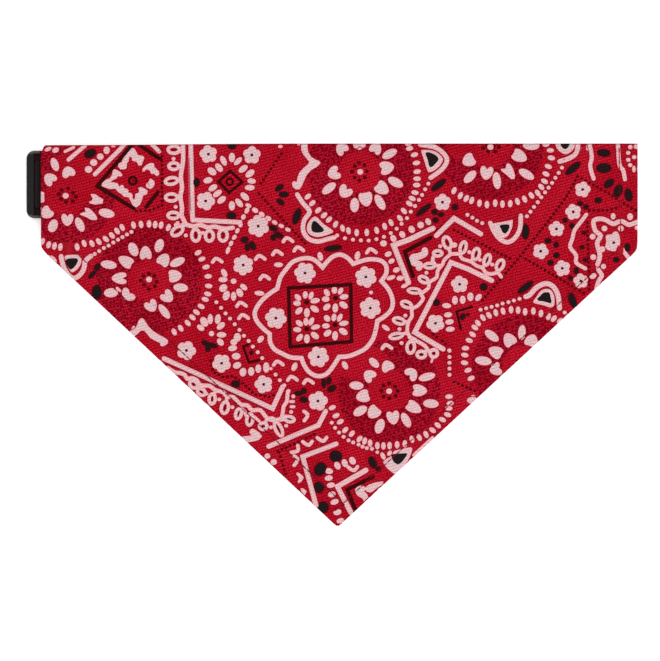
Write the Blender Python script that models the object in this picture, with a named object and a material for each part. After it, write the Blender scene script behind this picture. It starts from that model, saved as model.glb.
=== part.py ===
"""Bandana collar: a pet collar of black webbing with a printed bandana hung on it, buckled shut and laid flat.

The bandana is one cut of cloth.  Its top is folded over to the back, and the collar's front run goes through that
channel.  The collar's back run, with the closed buckle, lies on the surface behind the channel, and the grip bar of
the buckle's adjuster half shows past the cloth's left end.

Frame: +X to the wearer's front-view right, +Y from the point to the fold, +Z up, off the surface at z = 0.
The design numbers are millimetres.
"""

import math

import bmesh
import bpy
from mathutils import Vector

MM = 0.001

# Overall
LEFT_X = -130.0          # outer end of the buckle
CLOTH_LEFT_X = -123.8    # the cloth's left end
CLOTH_RIGHT_X = 130.0    # the cloth's right end
FOLD_Y = 81.5            # outside of the top fold
POINT = (2.0, -82.2)     # where the diagonals would cross
LEFT_CORNER_Y = 36.0     # where the left end meets the left diagonal
RIGHT_CORNER_Y = 36.2    # where the right end meets the right diagonal

# Cloth
WALL = 1.0               # thickness of a cloth wall
GAP = 0.3                # between pieces that touch
FLAP_EDGE_Y = 37.5       # lower edge of the folded-over flap
FLAP_LEFT_X = -123.2     # the flap's ends stop short of the front's
FLAP_RIGHT_X = 126.2
FOLD_DEPTH = 1.1         # half depth of the rounded fold, at mid-cloth
FOLD_STEPS = 6
LEFT_END_HEM = 9.8
RIGHT_END_HEM = 6.8
LEFT_DIAGONAL_HEM = 8.6
RIGHT_DIAGONAL_HEM = 8.3
HEM_FALL = 5.5           # beyond a hem the front settles over this width
HEM_TOP_Y = 79.4
POINT_BLUNT = 0.7        # the point is cut this much short of that

# Webbing
STRAP_W = 20.0
STRAP_T = 1.4
STRAP_Y = 64.05          # centre line of the strap and the buckle
STRAP_BEND = 1.3         # radius of a bend, at mid-thickness
BEND_STEPS = 4

# Buckle: distances from its outer end, or from its centre line
BUCKLE_W = 28.0
BUCKLE_L = 50.0
BUCKLE_T = 7.5
FRAME_T = 4.2            # the adjuster half, but for its lip
LIP_T = 5.0              # the grip bar's lip
LIP_X = 3.2              # the grip bar's width along the strap
RAIL_W = 3.1
SLOT_X = 3.5
BAR_X = 3.0
BAR_UNDER = 2.0          # the bars stand this high, so the strap passes below
SHOULDER_X = 21.7        # end of the adjuster half's body
SOCKET_X = 22.0
SOCKET_END_X = 43.7
CAVITY_W = 22.4
CAVITY_Z = (1.7, 5.5)
WINDOW_X = (27.0, 39.0)
PRONG_Z = (2.0, 4.8)

# Heights of what lies under the flap, from the left end to where the cloth is level again
#                 x        height of the flap's underside
BUCKLE_HUMP = (
    (CLOTH_LEFT_X, 4.8),
    (FLAP_LEFT_X, 4.8),
    (-117.0, 6.3),
    (-108.6, 7.8),
    (-86.0, 7.8),
)
HUMP_END_X = -25.0

# Stations of the flat cut
COLUMNS = (
    CLOTH_LEFT_X, -120.0, -117.0, -113.7, -108.6, -98.0, -86.0, -78.0, -70.0, -62.0, -54.0, -46.0,
    -36.0, -25.0, -11.0, 2.0, 18.0, 36.0, 54.0, 72.0, 90.0, 108.0, 123.0, CLOTH_RIGHT_X,
)
CHANNEL_ROWS = (77.5, 74.6, 64.0, 53.6, 49.8, 46.0, 42.0)
PANEL_ROWS = (37.0, 34.0, 31.0, 27.0, 20.0, 8.0, -8.0, -24.0, -40.0, -56.0, -70.0, POINT[1] + POINT_BLUNT)

FOLD_MID_Y = FOLD_Y - WALL / 2 - FOLD_DEPTH   # the walls leave the fold here
FOLD_ARC = math.pi * FOLD_DEPTH               # cloth taken up by the fold


def ramp(value, start, end):
    """0 at start, 1 at end, with level ends."""
    t = min(max((value - start) / (end - start), 0.0), 1.0)
    return t * t * (3.0 - 2.0 * t)


def strap_swell(y, at_fold):
    """1 over the strap's width, at_fold at the fold, 0 well below the strap."""
    above = 1.0 - (1.0 - at_fold) * ramp(y, 74.6, FOLD_MID_Y)
    return above * ramp(y, 43.0, 53.6)


def hump(x):
    """Height of the flap's underside over the buckle."""
    if x >= BUCKLE_HUMP[-1][0]:
        return BUCKLE_HUMP[-1][1] * (1.0 - ramp(x, BUCKLE_HUMP[-1][0], HUMP_END_X))
    for (x0, z0), (x1, z1) in zip(BUCKLE_HUMP, BUCKLE_HUMP[1:]):
        if x <= x1:
            return z0 + (z1 - z0) * max(x - x0, 0.0) / (x1 - x0)
    return BUCKLE_HUMP[-1][1]


def under_flap(x, y):
    """Height of the flap's underside: over the strap's back run or the buckle, down to the surface beside them."""
    over_strap = (STRAP_T + GAP) * strap_swell(y, 0.0)
    over_buckle = hump(x) * ramp(y, 17.0, 49.8)
    return max(over_strap, over_buckle)


def edge_line(side):
    """A point on one diagonal edge, and its outward direction."""
    x = CLOTH_LEFT_X if side < 0 else CLOTH_RIGHT_X
    y = LEFT_CORNER_Y if side < 0 else RIGHT_CORNER_Y
    along = Vector((POINT[0] - x, POINT[1] - y)).normalized()
    return Vector((x, y)), Vector((along.y, -along.x)) * (1 if side < 0 else -1)


def hem_swell(x, y):
    """1 over the turned hems, falling to 0 inside them."""
    depths = [
        (x - CLOTH_LEFT_X, LEFT_END_HEM),
        (CLOTH_RIGHT_X - x, RIGHT_END_HEM),
    ]
    for side, width in ((-1, LEFT_DIAGONAL_HEM), (1, RIGHT_DIAGONAL_HEM)):
        point, outward = edge_line(side)
        depths.append(((point - Vector((x, y))).dot(outward), width))
    return max(ramp(depth, width + GAP + HEM_FALL, width + GAP) for depth, width in depths)


def front_mid(x, y):
    """Height of the middle of the front wall."""
    on_flap = ramp(y, 31.0, 37.0)
    inside = (STRAP_T + GAP) * strap_swell(y, 0.53) * on_flap
    return under_flap(x, y) + (WALL + GAP) * (on_flap + hem_swell(x, y)) + inside + WALL / 2


def flap_mid(x, y):
    return under_flap(x, y) + WALL / 2


def fold_cloth(x, y):
    """Fold a point of the flat cut: the front stays, the strip above it wraps the fold and lies behind."""
    if y <= FOLD_MID_Y:
        return Vector((x, y, front_mid(x, y)))
    if y >= FOLD_MID_Y + FOLD_ARC:
        back_y = 2 * FOLD_MID_Y + FOLD_ARC - y
        return Vector((x, back_y, flap_mid(x, back_y)))
    top = front_mid(x, FOLD_MID_Y)
    bottom = flap_mid(x, FOLD_MID_Y)
    turn = math.pi * (0.5 - (y - FOLD_MID_Y) / FOLD_ARC)
    return Vector((
        x,
        FOLD_MID_Y + FOLD_DEPTH * math.cos(turn),
        (top + bottom) / 2 + (top - bottom) / 2 * math.sin(turn),
    ))


def end_inset(x, y):
    """Draw the ends in: a softened corner at the fold's left, and a flap that stops short of the front."""
    turned = (y - FOLD_MID_Y) / FOLD_ARC
    if turned <= -3.0:
        return x
    corner = 2.1 * max(0.0, 1.0 - abs(turned - 0.5) / 1.2)
    left = CLOTH_LEFT_X + corner
    right = CLOTH_RIGHT_X
    if turned > 1.0:
        left = max(left, FLAP_LEFT_X)
        right = max(FLAP_RIGHT_X, CLOTH_RIGHT_X - 3.8 * (turned - 1.0) / 0.6)
    return min(max(x, left), right)


def flat_cut(columns, rows):
    """The flat cut as a grid of quads."""
    bm = bmesh.new()
    grid = [[bm.verts.new((end_inset(x, y), y, 0.0)) for x in columns] for y in rows]
    for lower, upper in zip(grid, grid[1:]):
        for i in range(len(columns) - 1):
            bm.faces.new((lower[i], lower[i + 1], upper[i + 1], upper[i]))
    return bm


def cut(bm, point, outward, trim=True):
    """Cut the flat cloth along a line; with trim, drop what lies outward of it."""
    geometry = bm.verts[:] + bm.edges[:] + bm.faces[:]
    bmesh.ops.bisect_plane(
        bm,
        geom=geometry,
        dist=0.02,
        plane_co=(point[0], point[1], 0.0),
        plane_no=(outward[0], outward[1], 0.0),
        clear_outer=trim,
    )


def new_object(name, bm, material, parent=None, location=(0.0, 0.0, 0.0)):
    """Turn a bmesh in millimetres into an object in metres."""
    bmesh.ops.scale(bm, vec=(MM, MM, MM), verts=bm.verts)
    bmesh.ops.recalc_face_normals(bm, faces=bm.faces)
    mesh = bpy.data.meshes.new(name)
    bm.to_mesh(mesh)
    bm.free()
    mesh.materials.append(material)
    thing = bpy.data.objects.new(name, mesh)
    bpy.context.scene.collection.objects.link(thing)
    thing.location = Vector(location) * MM
    thing.parent = parent
    return thing


def cloth_object(name, bm, material, parent, drop=0.0):
    """Fold a flat piece, lower it by drop, and give it its wall."""
    bmesh.ops.remove_doubles(bm, verts=bm.verts, dist=0.3)
    for vert in bm.verts:
        vert.co = fold_cloth(vert.co.x, vert.co.y) - Vector((0.0, 0.0, drop))
    thing = new_object(name, bm, material, parent)
    wall = thing.modifiers.new("wall", "SOLIDIFY")
    wall.thickness = WALL * MM
    wall.offset = 0.0
    wall.use_even_offset = True
    return thing


def front_rows():
    return [FOLD_MID_Y, *CHANNEL_ROWS, *PANEL_ROWS][::-1]


def fold_rows():
    return [FOLD_MID_Y + FOLD_ARC * step / FOLD_STEPS for step in range(1, FOLD_STEPS + 1)]


def flap_rows():
    plan = [*CHANNEL_ROWS, FLAP_EDGE_Y]
    return [2 * FOLD_MID_Y + FOLD_ARC - y for y in plan]


def hem_lines():
    """Each hem's edge point, outward direction and width."""
    left, left_out = edge_line(-1)
    right, right_out = edge_line(1)
    return {
        "left_end": (Vector((CLOTH_LEFT_X, 0.0)), Vector((-1.0, 0.0)), LEFT_END_HEM),
        "right_end": (Vector((CLOTH_RIGHT_X, 0.0)), Vector((1.0, 0.0)), RIGHT_END_HEM),
        "left_diagonal": (left, left_out, LEFT_DIAGONAL_HEM),
        "right_diagonal": (right, right_out, RIGHT_DIAGONAL_HEM),
    }


def trim_diagonals(bm):
    for side in (-1, 1):
        cut(bm, *edge_line(side))
    cut(bm, (CLOTH_LEFT_X + 0.6, LEFT_CORNER_Y - 0.2), Vector((-1.0, -0.42)).normalized())


def make_cloth(material, parent):
    bm = flat_cut(COLUMNS, front_rows() + fold_rows() + flap_rows())
    trim_diagonals(bm)
    for point, outward, width in hem_lines().values():
        for depth in (width + GAP, width + GAP + HEM_FALL):
            cut(bm, point - outward * depth, outward, trim=False)
    return cloth_object("bandana_cloth", bm, material, parent)


def make_hem(name, material, parent):
    """One turned hem: the front's own points along that edge, moved under it."""
    point, outward, width = hem_lines()[name]
    columns = COLUMNS
    rows = [y for y in front_rows() if y < HEM_TOP_Y] + [HEM_TOP_Y]
    bm = flat_cut(columns, rows)
    trim_diagonals(bm)
    cut(bm, point - outward * width, -outward)
    side = -1 if name.startswith("left") else 1
    if name.endswith("diagonal"):
        end_point, end_out, end_width = hem_lines()[name.replace("diagonal", "end")]
        cut(bm, end_point - end_out * (end_width + GAP), end_out)
        cut(bm, (POINT[0] + side * GAP / 2, 0.0), Vector((-side, 0.0)))
    return cloth_object("hem_" + name, bm, material, parent, drop=WALL + GAP)


def rounded(route):
    """Round the corners of a route of (x, z, radius) stations."""
    points = [Vector(route[0][:2])]
    for before, here, after in zip(route, route[1:], route[2:]):
        corner = Vector(here[:2])
        back = (Vector(before[:2]) - corner).normalized()
        on = (Vector(after[:2]) - corner).normalized()
        radius = here[2]
        half = math.acos(max(-1.0, min(1.0, back.dot(on)))) / 2
        if radius <= 0.0 or half > math.radians(89.0):
            points.append(corner)
            continue
        reach = radius / math.tan(half)
        centre = corner + (back + on).normalized() * radius / math.sin(half)
        start = corner + back * reach - centre
        sweep = start.angle_signed(corner + on * reach - centre)
        steps = max(1, math.ceil(abs(sweep) / (math.pi / 2) * BEND_STEPS))
        for step in range(steps + 1):
            a = -sweep * step / steps
            points.append(centre + Vector((
                start.x * math.cos(a) - start.y * math.sin(a),
                start.x * math.sin(a) + start.y * math.cos(a),
            )))
    points.append(Vector(route[-1][:2]))
    return points


def strap_route():
    """Middle of the webbing, from its free end in the adjuster to its sewn end at the socket half."""
    lift = WALL + GAP + STRAP_T / 2
    slot_a = LEFT_X + LIP_X + GAP + STRAP_T / 2
    slot_b = LEFT_X + LIP_X + SLOT_X + BAR_X + SLOT_X / 2
    under_bar = BAR_UNDER - GAP - STRAP_T / 2
    on_shoulder = FRAME_T + GAP + STRAP_T / 2
    route = [
        (LEFT_X + SHOULDER_X - 2.0, on_shoulder, 0.0),
        (slot_b, on_shoulder, STRAP_BEND),
        (slot_b, under_bar, STRAP_BEND),
        (slot_a, under_bar, STRAP_BEND),
        (slot_a, hump(CLOTH_LEFT_X) + lift, STRAP_BEND),
        (FLAP_LEFT_X, hump(FLAP_LEFT_X) + lift, 0.0),
    ]
    for x in COLUMNS[1:-2]:
        route.append((x, max(hump(x), STRAP_T + GAP) + lift, 0.0))
    turn = FLAP_RIGHT_X + 0.3 + STRAP_BEND + 0.2
    route += [
        (turn, STRAP_T + GAP + lift, 1.49),
        (turn, STRAP_T / 2, 1.49),
    ]
    slot_c = LEFT_X + SOCKET_END_X + SLOT_X / 2
    over_bar = LIP_T - 0.2 + GAP + STRAP_T / 2
    doubled = STRAP_T * 1.5 + GAP
    route += [
        (slot_c, STRAP_T / 2, STRAP_BEND),
        (slot_c, over_bar, STRAP_BEND),
        (LEFT_X + BUCKLE_L + 0.4, over_bar, 3.0),
        (LEFT_X + BUCKLE_L + 8.4, doubled, 3.0),
        (LEFT_X + BUCKLE_L + 26.0, doubled, 0.0),
    ]
    return rounded(route)


def make_strap(material, parent):
    """A ribbon along the route, its width across the collar."""
    route = strap_route()
    bm = bmesh.new()
    rings = []
    for i, here in enumerate(route):
        before = route[max(i - 1, 0)]
        after = route[min(i + 1, len(route) - 1)]
        in_way = (here - before).normalized() if i else (after - here).normalized()
        out_way = (after - here).normalized() if i < len(route) - 1 else in_way
        way = (in_way + out_way).normalized()
        side = Vector((-way.y, way.x)) * (STRAP_T / 2) / max(way.dot(in_way), 0.5)
        ring = []
        for across, face in ((-1, -1), (1, -1), (1, 1), (-1, 1)):
            p = here + side * face
            ring.append(bm.verts.new((p.x, STRAP_Y + across * STRAP_W / 2, p.y)))
        rings.append(ring)
    for a, b in zip(rings, rings[1:]):
        for k in range(4):
            bm.faces.new((a[k], a[(k + 1) % 4], b[(k + 1) % 4], b[k]))
    bm.faces.new(rings[0])
    bm.faces.new(rings[-1][::-1])
    return new_object("collar_strap", bm, material, parent)


def slab(bm, outline, z0, z1):
    """Raise a flat outline of (x, y) from z0 to z1."""
    face = bm.faces.new([bm.verts.new((x, y, z0)) for x, y in outline])
    raised = bmesh.ops.extrude_face_region(bm, geom=[face])
    tops = [item for item in raised["geom"] if isinstance(item, bmesh.types.BMVert)]
    bmesh.ops.translate(bm, vec=(0.0, 0.0, z1 - z0), verts=tops)
    return tops


def box_outline(x0, x1, half_width):
    return [(x0, -half_width), (x1, -half_width), (x1, half_width), (x0, half_width)]


def cutter(name, x_span, y_span, z_span, parent):
    """A hidden box that a Boolean takes away."""
    bm = bmesh.new()
    outline = [(x_span[0], y_span[0]), (x_span[1], y_span[0]), (x_span[1], y_span[1]), (x_span[0], y_span[1])]
    slab(bm, outline, *z_span)
    thing = new_object(name, bm, bpy.data.materials["moulded_acetal"], parent)
    thing.hide_render = True
    thing.display_type = "WIRE"
    return thing


def boolean(thing, other, operation):
    step = thing.modifiers.new(operation.lower(), "BOOLEAN")
    step.operation = operation
    step.object = other
    step.solver = "EXACT"


def rounded_plan(x0, x1, half_width, outer_radius, inner_radius):
    """A plan outline with rounded corners: outer_radius at x0, inner_radius at x1."""
    corners = (
        (x0, -half_width, outer_radius, math.pi),
        (x1, -half_width, inner_radius, math.pi * 1.5),
        (x1, half_width, inner_radius, 0.0),
        (x0, half_width, outer_radius, math.pi * 0.5),
    )
    outline = []
    for x, y, radius, start in corners:
        cx = x + radius if x == x0 else x - radius
        cy = y + radius if y < 0 else y - radius
        for step in range(4):
            a = start + math.pi / 2 * step / 3
            outline.append((cx + radius * math.cos(a), cy + radius * math.sin(a)))
    return outline


def make_adjuster_half(material, parent, location):
    """Male half: ribbed grip bar, two strap slots with a locking bar between, shoulder and two prongs."""
    half = BUCKLE_W / 2
    slot_half = half - RAIL_W
    bm = bmesh.new()
    slab(bm, rounded_plan(0.0, SHOULDER_X, half, 2.0, 0.8), 0.0, LIP_T)
    body = new_object("buckle_adjuster_half", bm, material, parent, location)
    slot_b = LIP_X + SLOT_X + BAR_X
    empty = body
    far = half + 1.0
    cuts = (
        ("lip_step", (LIP_X, SHOULDER_X + 1.0), (-far, far), (FRAME_T, LIP_T + 1.0)),
        ("outer_slot", (LIP_X, LIP_X + SLOT_X), (-slot_half, slot_half), (-1.0, LIP_T + 1.0)),
        ("inner_slot", (slot_b, slot_b + SLOT_X), (-slot_half, slot_half), (-1.0, LIP_T + 1.0)),
        ("bar_under", (-1.0, slot_b + 0.5), (-slot_half, slot_half), (-1.0, BAR_UNDER)),
    )
    for name, x_span, y_span, z_span in cuts:
        boolean(body, cutter(name, x_span, y_span, z_span, empty), "DIFFERENCE")
    prongs = bmesh.new()
    for side in (-1, 1):
        #          along    out from the centre line
        outline = (
            (SHOULDER_X - 1.0, 6.6),
            (26.5, 6.6),
            (38.5, 7.4),
            (40.0, 8.6),
            (37.0, 13.4),
            (33.0, 14.0),
            (28.2, 12.2),
            (27.6, 9.6),
            (SHOULDER_X - 1.0, 9.6),
        )
        slab(prongs, [(x, side * y) for x, y in outline][::side], *PRONG_Z)
    slab(prongs, box_outline(SHOULDER_X - 1.0, 34.0, 1.6), *PRONG_Z)
    prong_object = new_object("prongs", prongs, material, empty)
    prong_object.hide_render = True
    prong_object.display_type = "WIRE"
    boolean(body, prong_object, "UNION")
    return body


def make_socket_half(material, parent, location):
    """Female half: a flat housing with side windows for the prongs, and a bar for the sewn strap."""
    half = BUCKLE_W / 2
    slot_half = half - RAIL_W
    bm = bmesh.new()
    slab(bm, rounded_plan(SOCKET_X, SOCKET_END_X + 0.8, half, 0.8, 2.0), 0.0, BUCKLE_T)
    body = new_object("buckle_socket_half", bm, material, parent, location)
    tail = bmesh.new()
    slab(tail, rounded_plan(SOCKET_END_X - 4.0, BUCKLE_L, half, 0.8, 2.5), 0.0, LIP_T - 0.2)
    tail_object = new_object("socket_tail", tail, material, body)
    tail_object.hide_render = True
    tail_object.display_type = "WIRE"
    boolean(body, tail_object, "UNION")
    far = half + 1.0
    cuts = (
        ("sewn_slot", (SOCKET_END_X, SOCKET_END_X + SLOT_X), (-slot_half, slot_half), (-1.0, BUCKLE_T + 1.0)),
        ("sewn_under", (SOCKET_END_X + 0.1, BUCKLE_L + 1.0), (-slot_half, slot_half), (-1.0, BAR_UNDER)),
        ("cavity", (SOCKET_X - 1.0, 41.5), (-CAVITY_W / 2, CAVITY_W / 2), CAVITY_Z),
        ("windows", WINDOW_X, (-far, far), CAVITY_Z),
    )
    for name, x_span, y_span, z_span in cuts:
        boolean(body, cutter(name, x_span, y_span, z_span, body), "DIFFERENCE")
    return body


def make_material(name, colour, roughness):
    material = bpy.data.materials.new(name)
    material.use_nodes = True
    shader = material.node_tree.nodes["Principled BSDF"]
    shader.inputs["Base Color"].default_value = (*colour, 1.0)
    shader.inputs["Roughness"].default_value = roughness
    shader.inputs["Metallic"].default_value = 0.0
    return material


def main():
    for thing in list(bpy.data.objects):
        bpy.data.objects.remove(thing, do_unlink=True)
    cloth = make_material("printed_red_cotton", (0.42, 0.012, 0.03), 0.85)
    webbing = make_material("woven_black_webbing", (0.012, 0.010, 0.010), 0.8)
    acetal = make_material("moulded_acetal", (0.016, 0.015, 0.015), 0.45)
    collar = bpy.data.objects.new("bandana_collar", None)
    bpy.context.scene.collection.objects.link(collar)
    make_cloth(cloth, collar)
    for name in hem_lines():
        make_hem(name, cloth, collar)
    make_strap(webbing, collar)
    place = (LEFT_X, STRAP_Y, 0.0)
    make_adjuster_half(acetal, collar, place)
    make_socket_half(acetal, collar, place)
    bpy.context.view_layer.update()


main()
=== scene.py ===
"""Bandana collar, dressed: the printed cloth, its stitching, the webbing and the moulded buckle.

The cloth is one thin printed sheet.  Its print is drawn on the flat cut, in millimetres; then the hems are
turned under, the top is folded over to the back, and everything lies at the heights that the collar inside
gives it.

Frame: +X along the collar from the buckle's end, +Y from the point to the fold, +Z up.  Numbers are
millimetres.
"""

import math

import bmesh
import bpy
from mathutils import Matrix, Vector
from mathutils.geometry import delaunay_2d_cdt
from mathutils.kdtree import KDTree


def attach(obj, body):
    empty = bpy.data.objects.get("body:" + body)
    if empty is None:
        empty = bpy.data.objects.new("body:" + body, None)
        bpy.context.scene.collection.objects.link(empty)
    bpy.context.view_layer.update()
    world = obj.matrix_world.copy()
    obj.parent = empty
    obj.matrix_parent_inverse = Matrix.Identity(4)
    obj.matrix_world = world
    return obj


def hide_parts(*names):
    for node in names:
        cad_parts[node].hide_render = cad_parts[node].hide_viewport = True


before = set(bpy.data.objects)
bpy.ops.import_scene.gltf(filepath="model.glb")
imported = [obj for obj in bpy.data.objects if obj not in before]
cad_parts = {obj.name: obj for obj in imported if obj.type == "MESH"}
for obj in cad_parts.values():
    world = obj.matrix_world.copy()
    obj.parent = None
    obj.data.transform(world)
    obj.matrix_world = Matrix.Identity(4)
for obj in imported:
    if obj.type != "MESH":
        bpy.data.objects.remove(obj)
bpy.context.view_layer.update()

MM = 0.001

# ---------------------------------------------------------------- sizes shared with the solids

LEFT_X = -130.0
CLOTH_LEFT_X = -123.8
CLOTH_RIGHT_X = 130.0
FOLD_Y = 81.5
POINT = (2.0, -82.2)
LEFT_CORNER_Y = 36.0
RIGHT_CORNER_Y = 36.2

WALL = 1.0
GAP = 0.3
FLAP_EDGE_Y = 37.5
FLAP_LEFT_X = -123.2
FLAP_RIGHT_X = 126.2
FOLD_DEPTH = 1.1
LEFT_END_HEM = 9.8
RIGHT_END_HEM = 6.8
LEFT_DIAGONAL_HEM = 8.6
RIGHT_DIAGONAL_HEM = 8.3
HEM_FALL = 5.5
HEM_TOP_Y = 79.4

STRAP_T = 1.4
STRAP_Y = 64.05
STRAP_BEND = 1.3

BUCKLE_W = 28.0
BUCKLE_L = 50.0
BUCKLE_T = 7.5
FRAME_T = 4.2
LIP_T = 5.0
LIP_X = 3.2
RAIL_W = 3.1
SLOT_X = 3.5
BAR_X = 3.0
BAR_UNDER = 2.0
SHOULDER_X = 21.7
SOCKET_X = 22.0
SOCKET_END_X = 43.7
CAVITY_W = 22.4
CAVITY_Z = (1.7, 5.5)
WINDOW_X = (27.0, 39.0)
PRONG_Z = (2.0, 4.8)

BUCKLE_HUMP = (
    (CLOTH_LEFT_X, 4.8),
    (FLAP_LEFT_X, 4.8),
    (-117.0, 6.3),
    (-108.6, 7.8),
    (-86.0, 7.8),
)
HUMP_END_X = -25.0

FOLD_MID_Y = FOLD_Y - WALL / 2 - FOLD_DEPTH
FOLD_ARC = math.pi * FOLD_DEPTH

# The real cloth
CLOTH_T = 0.4            # a cotton bandana, with its print
HEM_RISE = 0.8           # a turned hem lifts the front by this
HEM_R = HEM_RISE / 2
HEM_ARC = math.pi * HEM_R
EDGE_IN = HEM_R + CLOTH_T / 2
WEAVE_STEP = 3.0         # the cloth's own mesh, between the print's outlines
ROW_RATIO = 0.87         # its rows lie this much closer than its points, as in a net of even triangles

# The millimetres that one unit of each UV map spans
CUT_SPAN = 300.0
WEBBING_SPAN = 600.0

# Where the cloth climbs, from the point upwards: over the flap's edge, the strap and the buckle
FLAP_RISE_Y = (31.0, 37.0)
STRAP_RISE_Y = (43.0, 53.6)
STRAP_FALL_Y = 74.6
BUCKLE_RISE_Y = (17.0, 49.8)


# ---------------------------------------------------------------- how the cloth lies

def ramp(value, start, end):
    """0 at start, 1 at end, with level ends."""
    t = min(max((value - start) / (end - start), 0.0), 1.0)
    return t * t * (3.0 - 2.0 * t)


def strap_swell(y, at_fold):
    """1 over the strap, at_fold at the top fold, 0 below the strap."""
    above = 1.0 - (1.0 - at_fold) * ramp(y, STRAP_FALL_Y, FOLD_MID_Y)
    return above * ramp(y, *STRAP_RISE_Y)


def hump(x):
    """Height of the flap's underside over the buckle."""
    if x >= BUCKLE_HUMP[-1][0]:
        return BUCKLE_HUMP[-1][1] * (1.0 - ramp(x, BUCKLE_HUMP[-1][0], HUMP_END_X))
    for (x0, z0), (x1, z1) in zip(BUCKLE_HUMP, BUCKLE_HUMP[1:]):
        if x <= x1:
            return z0 + (z1 - z0) * max(x - x0, 0.0) / (x1 - x0)
    return BUCKLE_HUMP[-1][1]


def under_flap(x, y):
    """Height of the flap's underside."""
    over_strap = (STRAP_T + GAP) * strap_swell(y, 0.0)
    over_buckle = hump(x) * ramp(y, *BUCKLE_RISE_Y)
    return max(over_strap, over_buckle)


def edge_line(side):
    """A point on one diagonal edge, and its outward direction."""
    x = CLOTH_LEFT_X if side < 0 else CLOTH_RIGHT_X
    y = LEFT_CORNER_Y if side < 0 else RIGHT_CORNER_Y
    along = Vector((POINT[0] - x, POINT[1] - y)).normalized()
    return Vector((x, y)), Vector((along.y, -along.x)) * (1 if side < 0 else -1)


LEFT_EDGE, LEFT_OUT = edge_line(-1)
RIGHT_EDGE, RIGHT_OUT = edge_line(1)

# Each hem: a point on its fold, its outward direction, its width from the edge
HEMS = {
    "left_end": (Vector((CLOTH_LEFT_X + EDGE_IN, 0.0)), Vector((-1.0, 0.0)), LEFT_END_HEM),
    "right_end": (Vector((CLOTH_RIGHT_X - EDGE_IN, 0.0)), Vector((1.0, 0.0)), RIGHT_END_HEM),
    "left_diagonal": (LEFT_EDGE - LEFT_OUT * (EDGE_IN + 0.5), LEFT_OUT, LEFT_DIAGONAL_HEM),
    "right_diagonal": (RIGHT_EDGE - RIGHT_OUT * EDGE_IN, RIGHT_OUT, RIGHT_DIAGONAL_HEM),
}

# Soft creases: from, to, height, half width.  They fade along their length and lift the panel a little.
CREASES = (
    ((-96.0, 22.0), (-52.0, -6.0), 0.55, 9.0),
    ((-30.0, 30.0), (-8.0, -44.0), 0.5, 12.0),
    ((34.0, 28.0), (12.0, -34.0), 0.6, 11.0),
    ((106.0, 26.0), (62.0, 4.0), 0.55, 10.0),
    ((50.0, 2.0), (26.0, -40.0), 0.45, 9.0),
    ((-60.0, 34.0), (-34.0, 6.0), 0.4, 8.0),
    ((6.0, -24.0), (0.0, -70.0), 0.5, 8.0),
)


def crease_lift(x, y):
    lift = 0.0
    here = Vector((x, y))
    for start, end, height, half in CREASES:
        a = Vector(start)
        along = Vector(end) - a
        t = (here - a).dot(along) / along.length_squared
        if not 0.0 < t < 1.0:
            continue
        off = (here - a - along * t).length / half
        if off < 1.0:
            lift += height * math.sin(math.pi * t) ** 2 * (1.0 - off * off) ** 2
    return lift


def hem_swell(x, y):
    """1 over the turned hems, falling to 0 inside them."""
    here = Vector((x, y))
    swell = 0.0
    for point, outward, width in HEMS.values():
        depth = (point - here).dot(outward) + EDGE_IN
        swell = max(swell, ramp(depth, width + GAP + HEM_FALL, width + GAP))
    return swell


def front_z(x, y):
    """Middle of the front layer of cloth."""
    on_flap = ramp(y, *FLAP_RISE_Y)
    inside = (STRAP_T + GAP) * strap_swell(y, 0.53) * on_flap
    layers = (WALL + GAP) * on_flap + HEM_RISE * hem_swell(x, y)
    return under_flap(x, y) + layers + inside + CLOTH_T / 2 + crease_lift(x, y)


def flap_z(x, y):
    """Middle of the folded-over flap."""
    return under_flap(x, y) + CLOTH_T / 2


# How far in from its ends the cloth takes part in drawing them in
DRAW_REACH = 14.0


def draw_in(x, turned):
    """Soften the fold's left corner, and stop the flap short of the front's ends.

    turned goes from 0 to 1 in the fold, and is more on the flap.
    """
    left = 0.0
    right = 0.0
    if turned > -3.0:
        left = 2.1 * max(0.0, 1.0 - abs(turned - 0.5) / 1.2)
    if turned > 1.0:
        left = max(left, FLAP_LEFT_X - CLOTH_LEFT_X)
        right = min((CLOTH_RIGHT_X - FLAP_RIGHT_X), 3.8 * (turned - 1.0) / 0.6)
    moved = x
    moved += left * max(0.0, 1.0 - (x - CLOTH_LEFT_X) / DRAW_REACH)
    moved -= right * max(0.0, 1.0 - (CLOTH_RIGHT_X - x) / DRAW_REACH)
    return moved


CORNER_SOFTENING = (
    # corner                             pulled towards      by     within
    (Vector((CLOTH_LEFT_X, LEFT_CORNER_Y)), Vector((0.92, 0.39)), 0.4, 3.5),
    (Vector((CLOTH_RIGHT_X, RIGHT_CORNER_Y)), Vector((-0.92, 0.39)), 0.35, 2.5),
    (Vector(POINT), Vector((0.0, 1.0)), 0.4, 2.0),
)


def soften_corners(x, y):
    """Round the cloth's three lower corners a little."""
    for corner, way, pull, within in CORNER_SOFTENING:
        near = 1.0 - math.hypot(x - corner.x, y - corner.y) / within
        if near > 0.0:
            x += way.x * pull * near
            y += way.y * pull * near
    return x, y


def hem_under(x, y):
    """The hem that a flat point belongs to, and how far beyond its fold the point is."""
    if y > HEM_TOP_Y - 0.1:
        return None, 0.0
    best = None
    beyond = 1e-6
    for name, (point, outward, _) in HEMS.items():
        out = (Vector((x, y)) - point).dot(outward)
        if out > beyond:
            best = name
            beyond = out
    return best, beyond


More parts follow.
